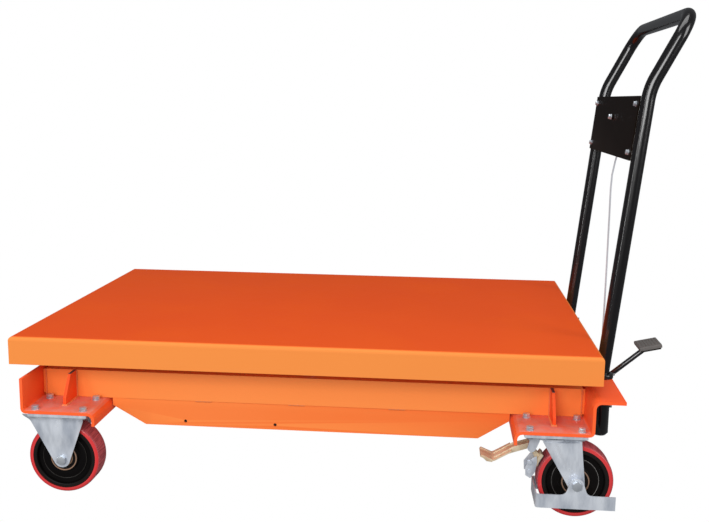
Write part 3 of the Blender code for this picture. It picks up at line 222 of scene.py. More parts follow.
def newMaterial(name, kind, settings, metallic=0.0, coat=0.0, specular=0.5):
    made = bpy.data.materials.new(name)
    made.use_nodes = True
    tree = made.node_tree
    shader = tree.nodes["Principled BSDF"]
    shader.inputs["Metallic"].default_value = metallic
    shader.inputs["Coat Weight"].default_value = coat
    shader.inputs["Coat Roughness"].default_value = 0.08
    shader.inputs["Specular IOR Level"].default_value = specular
    coordinates = tree.nodes.new("ShaderNodeTexCoord")
    group = tree.nodes.new("ShaderNodeGroup")
    group.node_tree = groups[kind]
    for label, value in settings.items():
        group.inputs[label].default_value = value
    tree.links.new(coordinates.outputs["Object"], group.inputs["Vector"])
    tree.links.new(group.outputs["Colour"], shader.inputs["Base Color"])
    tree.links.new(group.outputs["Roughness"], shader.inputs["Roughness"])
    tree.links.new(group.outputs["Normal"], shader.inputs["Normal"])
    return made


def coatMaterial(name, colour, dust, edge, roughness, dustAmount, edgeWearAndSheenAmount, coat, specular=0.5, topDust=0.0,
                 grain=1.0):
    return newMaterial(name, "coat", {"Colour": srgb(*colour), "Dust": srgb(*dust), "Edge": srgb(*edge),
                                      "Roughness": roughness, "Dust Amount": dustAmount,
                                      "Edge Amount": edgeWearAndSheenAmount, "Top Dust": topDust, "Grain": grain},
                       0.0, coat, specular)


def platedMaterial(name, light, dark, metallic):
    return newMaterial(name, "plated", {"Light": srgb(*light), "Dark": srgb(*dark)}, metallic)


# own colour, dust and edge colour (worn edge, and on the orange and weld paints a painted highlight), then
# roughness, dust, edge wear and painted highlight, coat, specular, dust on top and grain
materials = {
    # the light edge colours of these orange paints, spread by the bevels, are painted highlight and painted
    # front light on the skirt, rail faces and welds
    "deckPaint": coatMaterial("deckPaint", (230, 60, 0), (232, 78, 6), (236, 152, 76),
                              0.42, 0.30, 0.8, 0.0, 0.04),
    "framePaint": coatMaterial("framePaint", (238, 78, 10), (234, 100, 48), (255, 148, 74),
                               0.38, 0.25, 0.9, 0.0, 0.2),
    "beamPaint": coatMaterial("beamPaint", (252, 66, 6), (230, 138, 128), (250, 156, 90),
                              0.40, 0.12, 0.25, 0.0, 0.15, 1.0),
    "weldPaint": coatMaterial("weldPaint", (206, 74, 30), (180, 70, 40), (246, 150, 90), 0.45, 0.6, 0.7, 0.1),
    "black": coatMaterial("black", (14, 10, 7), (28, 22, 18), (70, 64, 60), 0.20, 0.10, 0.30, 0.08, 0.3),
    "tubeBlack": coatMaterial("tubeBlack", (12, 10, 12), (24, 20, 20), (60, 58, 62),
                              0.24, 0.08, 0.20, 0.85, 0.5, 0.0, 0.1),
    "bareEdge": coatMaterial("bareEdge", (84, 74, 74), (120, 96, 88), (140, 130, 126),
                             0.42, 0.7, 0.3, 0.0, 0.4),
    "castLine": coatMaterial("castLine", (30, 27, 26), (196, 194, 192), (96, 92, 88),
                             0.40, 1.0, 0.2, 0.0, 0.4),
    "panelBlack": coatMaterial("panelBlack", (20, 10, 4), (26, 18, 12), (52, 44, 38),
                               0.46, 0.10, 0.30, 0.0, 0.06),
    "blackShine": coatMaterial("blackShine", (20, 18, 22), (40, 36, 40), (90, 88, 92), 0.10, 0.05, 0.3, 0.9),
    "iron": coatMaterial("iron", (11, 9, 9), (30, 24, 22), (78, 70, 66), 0.42, 0.3, 0.25, 0.0, 0.12),
    "bearing": coatMaterial("bearing", (128, 92, 70), (84, 62, 52), (190, 160, 136), 0.4, 0.6, 0.6, 0.1),
    "rubber": coatMaterial("rubber", (72, 70, 72), (102, 96, 90), (140, 136, 132), 0.62, 0.5, 0.5, 0.0),
    "tyreSide": coatMaterial("tyreSide", (206, 28, 34), (168, 44, 50), (232, 84, 84), 0.34, 0.4, 0.5, 0.15),
    "cable": coatMaterial("cable", (186, 192, 200), (150, 154, 160), (230, 234, 238), 0.2, 0.5, 0.2, 0.5),
    "tread": newMaterial("tread", "tread", {"Light": srgb(192, 86, 92), "Dark": srgb(140, 54, 62)}),
    "zinc": platedMaterial("zinc", (232, 238, 247), (176, 184, 197), 0.36),
    "boltZinc": platedMaterial("boltZinc", (240, 246, 252), (176, 184, 196), 0.72),
    "yellowZinc": platedMaterial("yellowZinc", (240, 224, 194), (206, 180, 148), 0.25),
    "steel": platedMaterial("steel", (190, 190, 192), (140, 140, 142), 0.9),
    "chrome": platedMaterial("chrome", (232, 232, 236), (205, 206, 210), 1.0),
}
print("materials made")

# finish of each frame piece by its slot, and the few with their own
nodeFinish = {"orange_paint": "framePaint", "black_gloss": "black", "zinc_plate": "zinc",
              "yellow_zinc": "yellowZinc", "bare_steel": "steel", "hard_chrome": "chrome",
              "cast_iron": "iron", "red_polyurethane": "tyreSide", "grey_rubber": "rubber",
              "cable_sleeve": "cable"}
ownFinish = {"platform_deck": "deckPaint", "front_cross_beam": "beamPaint", "rear_cross_beam": "beamPaint",
             "control_panel": "panelBlack"}
softEdges = {"platform_deck": 0.0012, "front_cross_beam": 0.0010, "rear_cross_beam": 0.0010,
             "right_side_rail": 0.0008, "left_side_rail": 0.0008, "control_panel": 0.0006,
             "pedal_pad": 0.0008, "oil_reservoir": 0.001}
for part in frame["record"]["subparts"]:
    node = frame["nodes"][part["node"]]
    finish = ownFinish.get(part["node"], nodeFinish[part["material_slot"]])
    node.data.materials.clear()
    node.data.materials.append(materials[finish])
    if part["node"] in softEdges:
        bevel = node.modifiers.new("softEdges", "BEVEL")
        bevel.width = softEdges[part["node"]]
        bevel.segments = 2
        bevel.limit_method = "ANGLE"
        bevel.angle_limit = math.radians(50)
print("frame painted")


def placePiece(name, bm, finish, body, angle=35, extra=()):
    bm.normal_update()
    bmesh.ops.recalc_face_normals(bm, faces=bm.faces)
    mesh = bpy.data.meshes.new(name)
    bm.to_mesh(mesh)
    bm.free()
    mesh.materials.append(materials[finish])
    for other in extra:
        mesh.materials.append(materials[other])
    mesh.shade_smooth()
    mesh.set_sharp_from_angle(angle=math.radians(angle))
    obj = bpy.data.objects.new(name, mesh)
    bpy.context.scene.collection.objects.link(obj)
    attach(obj, body)
    return obj


def turnTo(axis):
    return Vector((0, 0, 1)).rotation_difference(Vector(axis).normalized()).to_matrix().to_4x4()


def addLathe(bm, settings):
    made = bmesh.new()
    verts = [made.verts.new((radius, 0.0, height)) for radius, height in settings["profile"]]
    edges = [made.edges.new(pair) for pair in zip(verts, verts[1:])]
    if settings.get("closed", False):
        edges.append(made.edges.new((verts[-1], verts[0])))
    bmesh.ops.spin(made, geom=verts + edges, cent=(0, 0, 0), axis=(0, 0, 1), angle=math.tau,
                   steps=settings.get("steps", 64), use_merge=True)
    bmesh.ops.remove_doubles(made, verts=made.verts, dist=0.000005)
    bmesh.ops.recalc_face_normals(made, faces=made.faces)
    made.transform(Matrix.Translation(settings["place"]) @ turnTo(settings.get("axis", (0, 0, 1))))
    addMesh(bm, made)


def addMesh(bm, made):
    holder = bpy.data.meshes.new("holder")
    made.to_mesh(holder)
    made.free()
    bm.from_mesh(holder)
    bpy.data.meshes.remove(holder)


def addHexagon(bm, place, axis, across, depth, washer=0.0, washerDepth=0.0015):
    made = bmesh.new()
    if washer > 0:
        bmesh.ops.create_cone(made, cap_ends=True, segments=32, radius1=washer, radius2=washer,
                              depth=washerDepth, matrix=Matrix.Translation((0, 0, washerDepth / 2)))
    base = washerDepth if washer > 0 else 0.0
    radius = across / math.sqrt(3)
    head = bmesh.new()
    bmesh.ops.create_cone(head, cap_ends=True, segments=6, radius1=radius, radius2=radius, depth=depth,
                          matrix=Matrix.Translation((0, 0, base + depth / 2 + 0.00005)))
    bmesh.ops.bevel(head, geom=head.edges[:], offset=depth * 0.1, segments=2, profile=0.6, affect="EDGES",
                    material=-1)
    addMesh(made, head)
    made.transform(Matrix.Translation(place) @ turnTo(axis))
    addMesh(bm, made)


def addRod(bm, start, end, radius, segments=32):
    start, end = Vector(start), Vector(end)
    made = bmesh.new()
    bmesh.ops.create_cone(made, cap_ends=True, segments=segments, radius1=radius, radius2=radius,
                          depth=(end - start).length)
    made.transform(Matrix.Translation((start + end) / 2) @ turnTo(end - start))
    addMesh(bm, made)


def addBeads(bm, start, end, radius, count):
    start, end = Vector(start), Vector(end)
    for index in range(count):
        place = start.lerp(end, index / max(1, count - 1))
        swell = 1.0 + 0.12 * math.sin(index * 2.4)
        made = bmesh.new()
        bmesh.ops.create_icosphere(made, subdivisions=2, radius=radius * swell)
        made.transform(Matrix.Translation(place))
        addMesh(bm, made)


def addTube(bm, points, radius, segments):
    made = bmesh.new()
    rings = []
    normal = Vector((0, 1, 0))
    for index, point in enumerate(points):
        ahead = points[min(index + 1, len(points) - 1)] - points[max(index - 1, 0)]
        ahead.normalize()
        if index == 0 and abs(ahead.y) > 0.9:
            normal = Vector((1, 0, 0))
        normal = (normal - ahead * normal.dot(ahead)).normalized()
        across = ahead.cross(normal)
        ring = []
        for step in range(segments):
            turn = math.tau * step / segments
            ring.append(made.verts.new(point + (normal * math.cos(turn) + across * math.sin(turn)) * radius))
        rings.append(ring)
    for first, second in zip(rings, rings[1:]):
        for step in range(segments):
            nextStep = (step + 1) % segments
            made.faces.new((first[step], first[nextStep], second[nextStep], second[step]))
    made.faces.new(rings[0])
    made.faces.new(rings[-1])
    addMesh(bm, made)


def roundCorner(before, corner, after, radius, count):
    back = (before - corner).normalized()
    ahead = (after - corner).normalized()
    half = back.angle(ahead) / 2
    centre = corner + (back + ahead).normalized() * radius / math.sin(half)
    first = corner + back * radius / math.tan(half) - centre
    normal = back.cross(ahead).normalized()
    points = []
    for index in range(count + 1):
        spoke = first.copy()
        spoke.rotate(Matrix.Rotation(-(math.pi - 2 * half) * index / count, 3, normal))
        points.append(centre + spoke)
    return points


def makeHandle():
    foot = Vector((handle["footX"], -handle["legY"], handle["footZ"]))
    knee = Vector((handle["footX"], -handle["legY"], handle["kneeZ"]))
    bend = Vector((handle["bendX"], -handle["legY"], handle["bendZ"]))
    corner = Vector((handle["topX"], -handle["legY"], handle["topZ"]))
    across = Vector((handle["topX"], 0, handle["topZ"]))
    points = [foot] + roundCorner(foot, knee, bend, handle["kneeRound"], 6)
    points += roundCorner(knee, bend, corner, handle["bendRound"], 14)
    points += roundCorner(bend, corner, across, handle["cornerRound"], 20)
    points += [Vector((p.x, -p.y, p.z)) for p in reversed(points)]
    bm = bmesh.new()
    addTube(bm, points, handle["radius"], 48)
    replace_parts(placePiece("handleTube", bm, "tubeBlack", "base"), "handle_tube")
    for word, side in sides.items():
        y = side * handle["legY"]
        bm = bmesh.new()
        top, bottom = socket["top"], socket["bottom"]
        addLathe(bm, {"profile": [(0.0143, top - 0.002), (0.0152, top), (socket["collar"] - 0.003, top),
                                  (socket["collar"] - 0.0009, top - 0.0009), (socket["collar"], top - 0.003),
                                  (socket["collar"], socket["collarZ"]),
                                  (socket["radius"], socket["collarZ"]),
                                  (socket["radius"], bottom + 0.005), (socket["radius"] - 0.0045, bottom),
                                  (0.0, bottom), (0.0, bottom + 0.004), (0.0143, bottom + 0.004)],
                      "closed": True, "place": (socket["x"], y, 0)})
        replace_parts(placePiece("handleSocket" + word.title(), bm, "tubeBlack", "base", 50),
                    "handle_socket_" + word)
        bm = bmesh.new()
        addRod(bm, (socket["x"] + 0.0175, y, 0.2565), (socket["x"] + 0.0245, y, 0.2565), 0.0025, 20)
        addHexagon(bm, (socket["x"] + 0.0170, y, 0.190), (1, 0, 0), 0.010, 0.0050)
        placePiece("socketScrews" + word.title(), bm, "steel", "base")
    print("handle made")


panel = {"boltY": 0.236, "boltRows": (0.718, 0.815), "pivotZ": 0.785, "thickness": 0.003, "gap": 0.0003}


def addPanelBolts():
    lean = Vector((handle["bendX"] - handle["footX"], 0, handle["bendZ"] - handle["kneeZ"])).normalized()
    normal = Vector((-lean.z, 0, lean.x))
    bm = bmesh.new()
    reach = handle["radius"] / lean.z + panel["gap"] + panel["thickness"] / lean.z
    for side in sides.values():
        for z in panel["boltRows"]:
            x = handle["footX"] + (z - handle["kneeZ"]) * lean.x / lean.z - reach
            addHexagon(bm, (x, side * panel["boltY"], z), normal, 0.0095, 0.0040, 0.0060)
    z = panel["pivotZ"]  # the lever turns on this one
    x = handle["footX"] + (z - handle["kneeZ"]) * lean.x / lean.z - reach
    addHexagon(bm, Vector((x, 0, z)) + normal * 0.0032, normal, 0.0105, 0.0050, 0.0065)
    # the panel's bolts are dark; their light zinc colour is a painted highlight
    placePiece("panelBoltsPaintedHighlight", bm, "boltZinc", "base")


def makeWheel(kind, word, side, body):
    x = table["frontX"] if kind == "fixed" else table["rearX"] + wheel["trail"]
    place = (x, side * table["casterY"], wheel["radius"])
    half, core, radius = wheel["half"], wheel["core"], wheel["radius"]
    name = kind.title() + word.title()
    bm = bmesh.new()
    inner = core + 0.0003
    profile = [(inner, half), (radius - 0.0045, half), (radius - 0.0018, half - 0.0012),
               (radius - 0.0004, half - 0.0034), (radius, half - 0.0062)]
    profile += [(r, -h) for r, h in reversed(profile)]
    addLathe(bm, {"profile": profile, "closed": True, "place": place, "axis": (0, 1, 0), "steps": 128})
    for face in bm.faces:
        middle = face.calc_center_median() - Vector(place)
        if math.hypot(middle.x, middle.z) > radius - 0.0012:
            face.material_index = 1
    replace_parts(placePiece("tyre" + name, bm, "tyreSide", body, 60, ("tread",)),
                "tyre_" + kind + "_" + word)
    bm = bmesh.new()
    bore = wheel["bore"]
    face = [(core, half - 0.0015), (core - 0.0015, half), (core - 0.0065, half),
            (core - 0.0080, half - 0.0010), (core - 0.0100, half - 0.0068),
            (0.0475, half - 0.0070), (0.0465, half - 0.0062),
            (0.0455, half - 0.0046), (0.0445, half - 0.0042), (0.0310, half - 0.0050),
            (0.0300, half - 0.0042), (0.0290, half - 0.0006), (0.0280, half), (0.0200, half)]
    profile = face + [(0.0190, half - 0.0020), (bore, half - 0.0020), (bore, -half + 0.0020),
                      (0.0190, -half + 0.0020)] + [(r, -h) for r, h in reversed(face)]
    addLathe(bm, {"profile": profile, "closed": True, "place": place, "axis": (0, 1, 0), "steps": 96})
    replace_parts(placePiece("core" + name, bm, "iron", body, 30), "wheel_core_" + kind + "_" + word)
    bm = bmesh.new()
    for end in (-1, 1):
        addLathe(bm, {"profile": [(0.0185, 0.0002), (0.0185, 0.0016), (0.0165, 0.0022), (0.0120, 0.0022),
                                  (0.0110, 0.0006), (bore + 0.0004, 0.0006), (bore + 0.0004, 0.0002)],
                      "closed": True, "place": (x, place[1] + end * (half - 0.0020), wheel["radius"]),
                      "axis": (0, end, 0), "steps": 64})
        addLathe(bm, {"profile": [(0.0274, 0.0002), (0.0274, 0.0011), (0.0268, 0.0016), (0.0256, 0.0016),
                                  (0.0250, 0.0011), (0.0250, 0.0002)],
                      "closed": True, "place": (x, place[1] + end * half, wheel["radius"]),
                      "axis": (0, end, 0), "steps": 64})
    placePiece("dustCaps" + name, bm, "bearing", body)
    bm = bmesh.new()
    for end in (-1, 1):
        addLathe(bm, {"profile": [(0.0468, 0.0001), (0.0466, 0.0006), (0.0461, 0.0006), (0.0459, 0.0001)],
                      "closed": True, "place": (x, place[1] + end * (half - 0.0053), wheel["radius"]),
                      "axis": (0, end, 0), "steps": 96})
    placePiece("castLines" + name, bm, "castLine", body)


# the swivel caster's bolt also holds its guard
axle = {"radius": 0.0059, "head": 0.0175, "washer": 0.0102, "washerDepth": 0.0008,
        "fixed": {"face": 0.0354, "depth": 0.0056, "tail": 0.009},
        "swivel": {"face": 0.0474, "depth": 0.0037, "tail": 0.003}}


def makeAxle(kind, word, side, body):
    x = table["frontX"] if kind == "fixed" else table["rearX"] + wheel["trail"]
    y, z = side * table["casterY"], wheel["radius"]
    face, depth, tail = (axle[kind][key] for key in ("face", "depth", "tail"))
    bm = bmesh.new()
    addRod(bm, (x, y - face - 0.002, z), (x, y + face + tail, z), axle["radius"], 40)
    for end in (-1, 1):
        addHexagon(bm, (x, y + end * face, z), (0, end, 0), axle["head"], depth, axle["washer"],
                   axle["washerDepth"])
    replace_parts(placePiece("axle" + kind.title() + word.title(), bm, "boltZinc", body),
                "wheel_axle_" + kind + "_" + word)


casterBolt = {"end": 0.1664, "top": 0.1845, "radius": 0.0049, "head": 0.0132, "headDepth": 0.0066,
              "washer": 0.0084, "washerDepth": 0.0016, "nut": 0.0145, "nutDepth": 0.0050, "nutZ": 0.1717}


def addCasterBolts():
    for place, x in (("Front", table["frontX"]), ("Rear", table["rearX"])):
        for word, side in sides.items():
            bm = bmesh.new()
            for stepX in (-1, 1):
                for stepY in (-1, 1):
                    boltX = x + stepX * table["boltStepX"]
                    boltY = side * table["casterY"] + stepY * table["boltStepY"]
                    end, nut, seat, top = (Vector((boltX, boltY, z)) for z in (
                        casterBolt["end"], casterBolt["nutZ"], table["plateTop"], casterBolt["top"]))
                    addRod(bm, end, top, casterBolt["radius"], 24)
                    addHexagon(bm, seat, (0, 0, 1), casterBolt["head"], casterBolt["headDepth"],
                               casterBolt["washer"], casterBolt["washerDepth"])
                    addHexagon(bm, nut, (0, 0, -1), casterBolt["nut"], casterBolt["nutDepth"])
            placePiece("casterBolts" + place + word.title(), bm, "boltZinc", "base")


welds = {"stitches": (-0.214, -0.0145, 0.196), "corners": (-0.555, 0.572)}


def addWelds():
    for word, side in sides.items():
        bm = bmesh.new()
        y = side * (table["railFace"] - 0.0022)
        for x in welds["stitches"]:  # along the rail's lower edge
            addBeads(bm, (x - 0.016 + shiftX, y, 0.1830), (x + 0.016 + shiftX, y, 0.1830), 0.0024, 11)
        for x in (table["frontX"], table["rearX"]):  # round the gussets
            for hand in (-1, 1):
                near = x + hand * 0.0034
                addBeads(bm, (near, side * 0.3245, 0.1845), (near, side * 0.3245, 0.2400), 0.0020, 18)
                near = x + hand * 0.0036
                addBeads(bm, (near, side * 0.3260, 0.1836), (near, side * 0.3850, 0.1836), 0.0022, 19)
            addBeads(bm, (x - 0.0040, side * 0.3860, 0.1836), (x + 0.0040, side * 0.3860, 0.1836), 0.0024, 4)
        for x in welds["corners"]:
            addBeads(bm, (x + shiftX, side * 0.3238, 0.1850), (x + shiftX, side * 0.3238, 0.2400), 0.0018, 18)
        placePiece("weldBeads" + word.title(), bm, "weldPaint", "base", 60)
    print("welds made")


forkSide = {"fixed": {"front": -0.0735, "rear": 0.0540, "top": 0.1762, "flare": 0.0160},
            "swivel": {"front": -0.0687, "rear": 0.0073, "top": 0.1600, "flare": 0.0},
            "face": 0.0339, "foot": 0.0168, "sheet": 0.0012, "swell": 0.0068, "groove": 0.0016}


def easeIn(value, low, high):
    part = min(1.0, max(0.0, (value - low) / (high - low)))
    return part * part * (3 - 2 * part)


def legEdge(cornerX, cornerZ, z, hand):
    # straight from the top corner, then round the foot
    foot = forkSide["foot"]
    corner = math.atan2(cornerZ, cornerX)
    turn = corner - hand * math.acos(foot / math.hypot(cornerX, cornerZ))
    if z <= foot * math.sin(turn):
        return hand * math.sqrt(max(0.0, foot * foot - z * z))
    return (foot - z * math.sin(turn)) / math.cos(turn)


def addForkSides():
    for word, side in sides.items():
        for kind, axleX, body in (("fixed", table["frontX"], "base"),
                                  ("swivel", table["rearX"] + wheel["trail"], "swivel_" + word)):
            shape = forkSide[kind]
            rise = shape["top"] - wheel["radius"]
            low = -0.985 * forkSide["foot"]
            bm = bmesh.new()
            for hand in (-1, 1):
                made = bmesh.new()
                bmesh.ops.create_grid(made, x_segments=32, y_segments=28, size=0.5)
                for vert in made.verts:
                    across, up = vert.co.x * 2, vert.co.y + 0.5
                    z = low + (rise - low) * up ** 1.25
                    left = legEdge(shape["front"], rise, z, -1)
                    right = legEdge(shape["rear"], rise, z, 1)
                    pressed = easeIn(z, 0.018, 0.060)
                    out = forkSide["swell"] * pressed * (1 - across * across)
                    for groove in (-0.42, 0.42):
                        out -= forkSide["groove"] * pressed * math.exp(-((across - groove) / 0.10) ** 2)
                    out = max(out, shape["flare"] * easeIn(z, rise - 0.020, rise))
                    vert.co = (axleX + left + (right - left) * (across + 1) / 2,
                               side * table["casterY"] + hand * (forkSide["face"] + out), wheel["radius"] + z)
                grown = bmesh.ops.extrude_face_region(made, geom=made.faces[:])
                moved = [item for item in grown["geom"] if isinstance(item, bmesh.types.BMVert)]
                bmesh.ops.translate(made, vec=(0, hand * forkSide["sheet"], 0), verts=moved)
                bmesh.ops.recalc_face_normals(made, faces=made.faces)
                addMesh(bm, made)
            placePiece("forkSides" + kind.title() + word.title(), bm, "zinc", body, 40)


guard = {"face": 0.0467, "sheet": 0.0025, "low": 0.027, "high": 0.055, "front": -0.0790, "rear": 0.0760,
         "corner": 0.006, "foot": 0.0145, "spacer": 0.0090}


def extrudeOutline(bm, points, move, edge=0.0):
    made = bmesh.new()
    face = made.faces.new([made.verts.new(point) for point in points])
    grown = bmesh.ops.extrude_face_region(made, geom=[face])
    moved = [item for item in grown["geom"] if isinstance(item, bmesh.types.BMVert)]
    bmesh.ops.translate(made, vec=move, verts=moved)
    bmesh.ops.recalc_face_normals(made, faces=made.faces)
    if edge > 0:
        bmesh.ops.bevel(made, geom=made.edges[:], offset=edge, segments=2, profile=0.5, affect="EDGES",
                        material=-1)
    addMesh(bm, made)


def makeGuard():
    # a band round the wheel, and on each side a hump up to the axle
    flank = [(0.0300, -0.0196), (0.0262, -0.0190), (0.0232, -0.0174), (0.0208, -0.0150), (0.0190, -0.0118)]
    crown = [(guard["foot"] * math.cos(math.radians(turn)), guard["foot"] * math.sin(math.radians(turn)))
             for turn in range(28, 153, 8)]
    foot = guard["high"] - wheel["radius"] - 0.004
    outline = [(0.0330, foot), (0.0330, -0.0200)] + flank + crown
    outline += [(-x, z) for x, z in reversed(flank)] + [(-0.0330, -0.0200), (-0.0330, foot)]
    for word, side in sides.items():
        axleX, y = table["rearX"] + wheel["trail"], side * table["casterY"]
        path = [Vector((axleX + guard["rear"], y + guard["face"], 0)),
                Vector((axleX + guard["front"], y + guard["face"], 0)),
                Vector((axleX + guard["front"], y - guard["face"], 0)),
                Vector((axleX + guard["rear"], y - guard["face"], 0))]
        outer = [path[0]] + roundCorner(path[0], path[1], path[2], guard["corner"], 8)
        outer += roundCorner(path[1], path[2], path[3], guard["corner"], 8) + [path[3]]
        inner = []
        for index, point in enumerate(outer):
            ahead = outer[min(index + 1, len(outer) - 1)] - outer[max(index - 1, 0)]
            inner.append(point + Vector((-ahead.y, ahead.x, 0)).normalized() * guard["sheet"])
        bm = bmesh.new()
        ring = [Vector((p.x, p.y, guard["low"])) for p in outer + inner[::-1]]
        extrudeOutline(bm, ring, (0, 0, guard["high"] - guard["low"]))
        for hand in (-1, 1):
            near = y + hand * (guard["face"] - 0.0001)
            extrudeOutline(bm, [(axleX + x, near, wheel["radius"] + z) for x, z in outline],
                           (0, -hand * (guard["sheet"] - 0.0002), 0))
            addRod(bm, (axleX, y + hand * 0.0362, wheel["radius"]),
                   (axleX, y + hand * 0.0460, wheel["radius"]), guard["spacer"], 40)
        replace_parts(placePiece("toeGuard" + word.title(), bm, "zinc", "swivel_" + word),
                    "toe_guard_" + word)


gussetEdge = {"y": 0.3395, "z": 0.2422, "size": (0.0056, 0.0300, 0.0005)}
holeShade = {"places": (-0.254, -0.061), "z": 0.1365, "inside": 0.3132, "outside": 0.3165, "radius": 0.0034}


def addGussetEdges():
    for word, side in sides.items():
        bm = bmesh.new()
        for x in (table["frontX"], table["rearX"]):
            made = bmesh.new()
            bmesh.ops.create_cube(made, size=1.0)
            bmesh.ops.scale(made, vec=gussetEdge["size"], verts=made.verts)
            made.transform(Matrix.Translation((x, side * gussetEdge["y"], gussetEdge["z"])))
            addMesh(bm, made)
        placePiece("gussetEdges" + word.title(), bm, "bareEdge", "base")


# black discs set inside the side-plate holes: painted shade that makes the holes read dark
def addHoleShadeDiscs():
    for word, side in sides.items():
        bm = bmesh.new()
        for x in holeShade["places"]:
            addRod(bm, (x + shiftX, side * holeShade["inside"], holeShade["z"]),
                   (x + shiftX, side * holeShade["outside"], holeShade["z"]), holeShade["radius"], 24)
        placePiece("holeShadeDiscs" + word.title(), bm, "black", "base")


def addCrownRimAndRaceShade():
    for word, side in sides.items():
        bm = bmesh.new()
        place = (table["rearX"], side * table["casterY"], 0.1653)
        addLathe(bm, {"profile": [(0.0395, -0.0052), (0.0395, -0.0008), (0.0384, -0.0002), (0.0384, -0.0052)],
                      "closed": True, "place": place, "steps": 72})
        placePiece("crownRim" + word.title(), bm, "zinc", "swivel_" + word)
        # a black ring filling the gap between the top plate and the crown: painted shade of that gap
        bm = bmesh.new()
        addLathe(bm, {"profile": [(0.0385, 0.0010), (0.0390, 0.0014), (0.0390, 0.0056), (0.0385, 0.0060),
                                  (0.0363, 0.0060), (0.0363, 0.0010)],
                      "closed": True, "place": place, "steps": 72})
        placePiece("raceShadeRing" + word.title(), bm, "black", "base")


lining = {"from": 144, "sweep": 17, "steps": 8, "radii": (0.0782, 0.0794), "half": 0.0150}


def addBrakePad():
    for word, side in sides.items():
        bm = bmesh.new()
        y = side * table["casterY"]
        centre = Vector((table["rearX"] + wheel["trail"], y, wheel["radius"]))
        steps = lining["steps"]
        angles = [math.radians(lining["from"] + lining["sweep"] * index / steps)
                  for index in range(steps + 1)]
        grid = []
        for angle in angles:
            for radius in lining["radii"]:
                for hand in (-lining["half"], lining["half"]):
                    spot = centre + Vector((radius * math.cos(angle), hand, radius * math.sin(angle)))
                    grid.append(bm.verts.new(spot))
        for index in range(steps):
            low = grid[index * 4:index * 4 + 4]
            high = grid[index * 4 + 4:index * 4 + 8]
            for first, second in ((0, 1), (1, 3), (3, 2), (2, 0)):
                bm.faces.new((low[first], low[second], high[second], high[first]))
        bm.faces.new((grid[0], grid[1], grid[3], grid[2]))
        bm.faces.new((grid[-4], grid[-3], grid[-1], grid[-2]))
        placePiece("brakeLining" + word.title(), bm, "rubber", "brake_" + word)


def addPlate(bm, outline, low, high):
    extrudeOutline(bm, [(x, low, z) for x, z in outline], (0, high - low, 0), 0.0004)


brake = {"pivotX": table["rearX"] - 0.043, "pivotZ": 0.139, "carrierStep": 0.006}


def addBrakeDetail():
    x, z = brake["pivotX"], brake["pivotZ"]
    carrier = x + brake["carrierStep"]
    for word, side in sides.items():
        y = side * table["casterY"]
        bm = bmesh.new()
        for hand in (-1, 1):
            low, high = sorted((y + hand * 0.0106, y + hand * 0.0126))
            addPlate(bm, [(x - 0.006, z + 0.0085), (x - 0.036, z - 0.0015), (x - 0.073, z - 0.0240),
                          (x - 0.075, z - 0.0300), (x - 0.040, z - 0.0150), (x - 0.008, z - 0.0040)],
                     low, high)
            low, high = sorted((y + hand * 0.0180, y + hand * 0.0236))
            addPlate(bm, [(x - 0.0765, z - 0.0262), (x - 0.0990, z - 0.0168), (x - 0.0975, z - 0.0215),
                          (x - 0.0880, z - 0.0300), (x - 0.0765, z - 0.0315)], low, high)
        placePiece("brakeFlanges" + word.title(), bm, "yellowZinc", "brake_" + word)
        bm = bmesh.new()
        for hand in (-1, 1):
            low, high = sorted((y + hand * 0.0157, y + hand * 0.0177))
            addPlate(bm, [(carrier - 0.004, z - 0.022), (carrier + 0.0050, z - 0.0170),
                          (carrier + 0.0060, z - 0.030), (carrier + 0.0030, z - 0.050),
                          (carrier - 0.0060, z - 0.064), (carrier - 0.0160, z - 0.058),
                          (carrier - 0.0170, z - 0.040)], low, high)
        spindle = carrier - 0.0085
        addRod(bm, (spindle, y - 0.0200, z - 0.0490), (spindle, y + 0.0200, z - 0.0490), 0.0040, 28)
        addHexagon(bm, (spindle, y - 0.0178, z - 0.0300), (0, -1, 0), 0.0080, 0.0035, 0.0060, 0.0010)
        placePiece("brakeCarrier" + word.title(), bm, "zinc", "brake_" + word)


# closes the rail's channel against the beams' bends
railEnd = {"spans": ((-0.5616, -0.5573), (0.5740, 0.5783)), "low": 0.1885, "high": 0.2415}


def addRailEnds():
    for word, side in sides.items():
        bm = bmesh.new()
        low, high = sorted((side * (table["railFace"] - 0.0049), side * (table["railFace"] - 0.0001)))
        for start, end in railEnd["spans"]:
            addPlate(bm, [(start + shiftX, railEnd["low"]), (end + shiftX, railEnd["low"]),
                          (end + shiftX, railEnd["high"]), (start + shiftX, railEnd["high"])], low, high)
        placePiece("railEnds" + word.title(), bm, "framePaint", "base")


pedal = {"pivot": (0.632 + shiftX, 0, 0.134), "rise": 41, "radius": 0.0060, "padTilt": 13,
         "ribs": 7, "ribStep": 0.007, "ribSize": (0.0030, 0.060, 0.0012)}


def makePedal():
    rise = math.radians(pedal["rise"])
    reach = Vector((math.cos(rise), 0, math.sin(rise)))
    start = Vector(pedal["pivot"])
    bm = bmesh.new()
    addTube(bm, [start + reach * d for d in (0.009, 0.05, 0.1, 0.172)], pedal["radius"], 40)
    placePiece("pedalSleeve", bm, "blackShine", "pedal")


def addPadRibs():
    low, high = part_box("pedal_pad")
    middle = (Vector(low) + Vector(high)) / 2
    tilt = math.radians(pedal["padTilt"])
    along = Vector((math.cos(tilt), 0, math.sin(tilt)))
    up = Vector((-math.sin(tilt), 0, math.cos(tilt)))
    bm = bmesh.new()
    for index in range(pedal["ribs"]):
        centre = middle + along * (-0.021 + pedal["ribStep"] * index) + up * 0.0046
        made = bmesh.new()
        bmesh.ops.create_cube(made, size=1.0)
        bmesh.ops.scale(made, vec=pedal["ribSize"], verts=made.verts)
        bmesh.ops.bevel(made, geom=made.edges[:], offset=0.0003, segments=2, profile=0.5, affect="EDGES",
                        material=-1)
        made.transform(Matrix.Translation(centre) @ Matrix.Rotation(-tilt, 4, "Y"))
        addMesh(bm, made)
    placePiece("padRibs", bm, "rubber", "pedal")


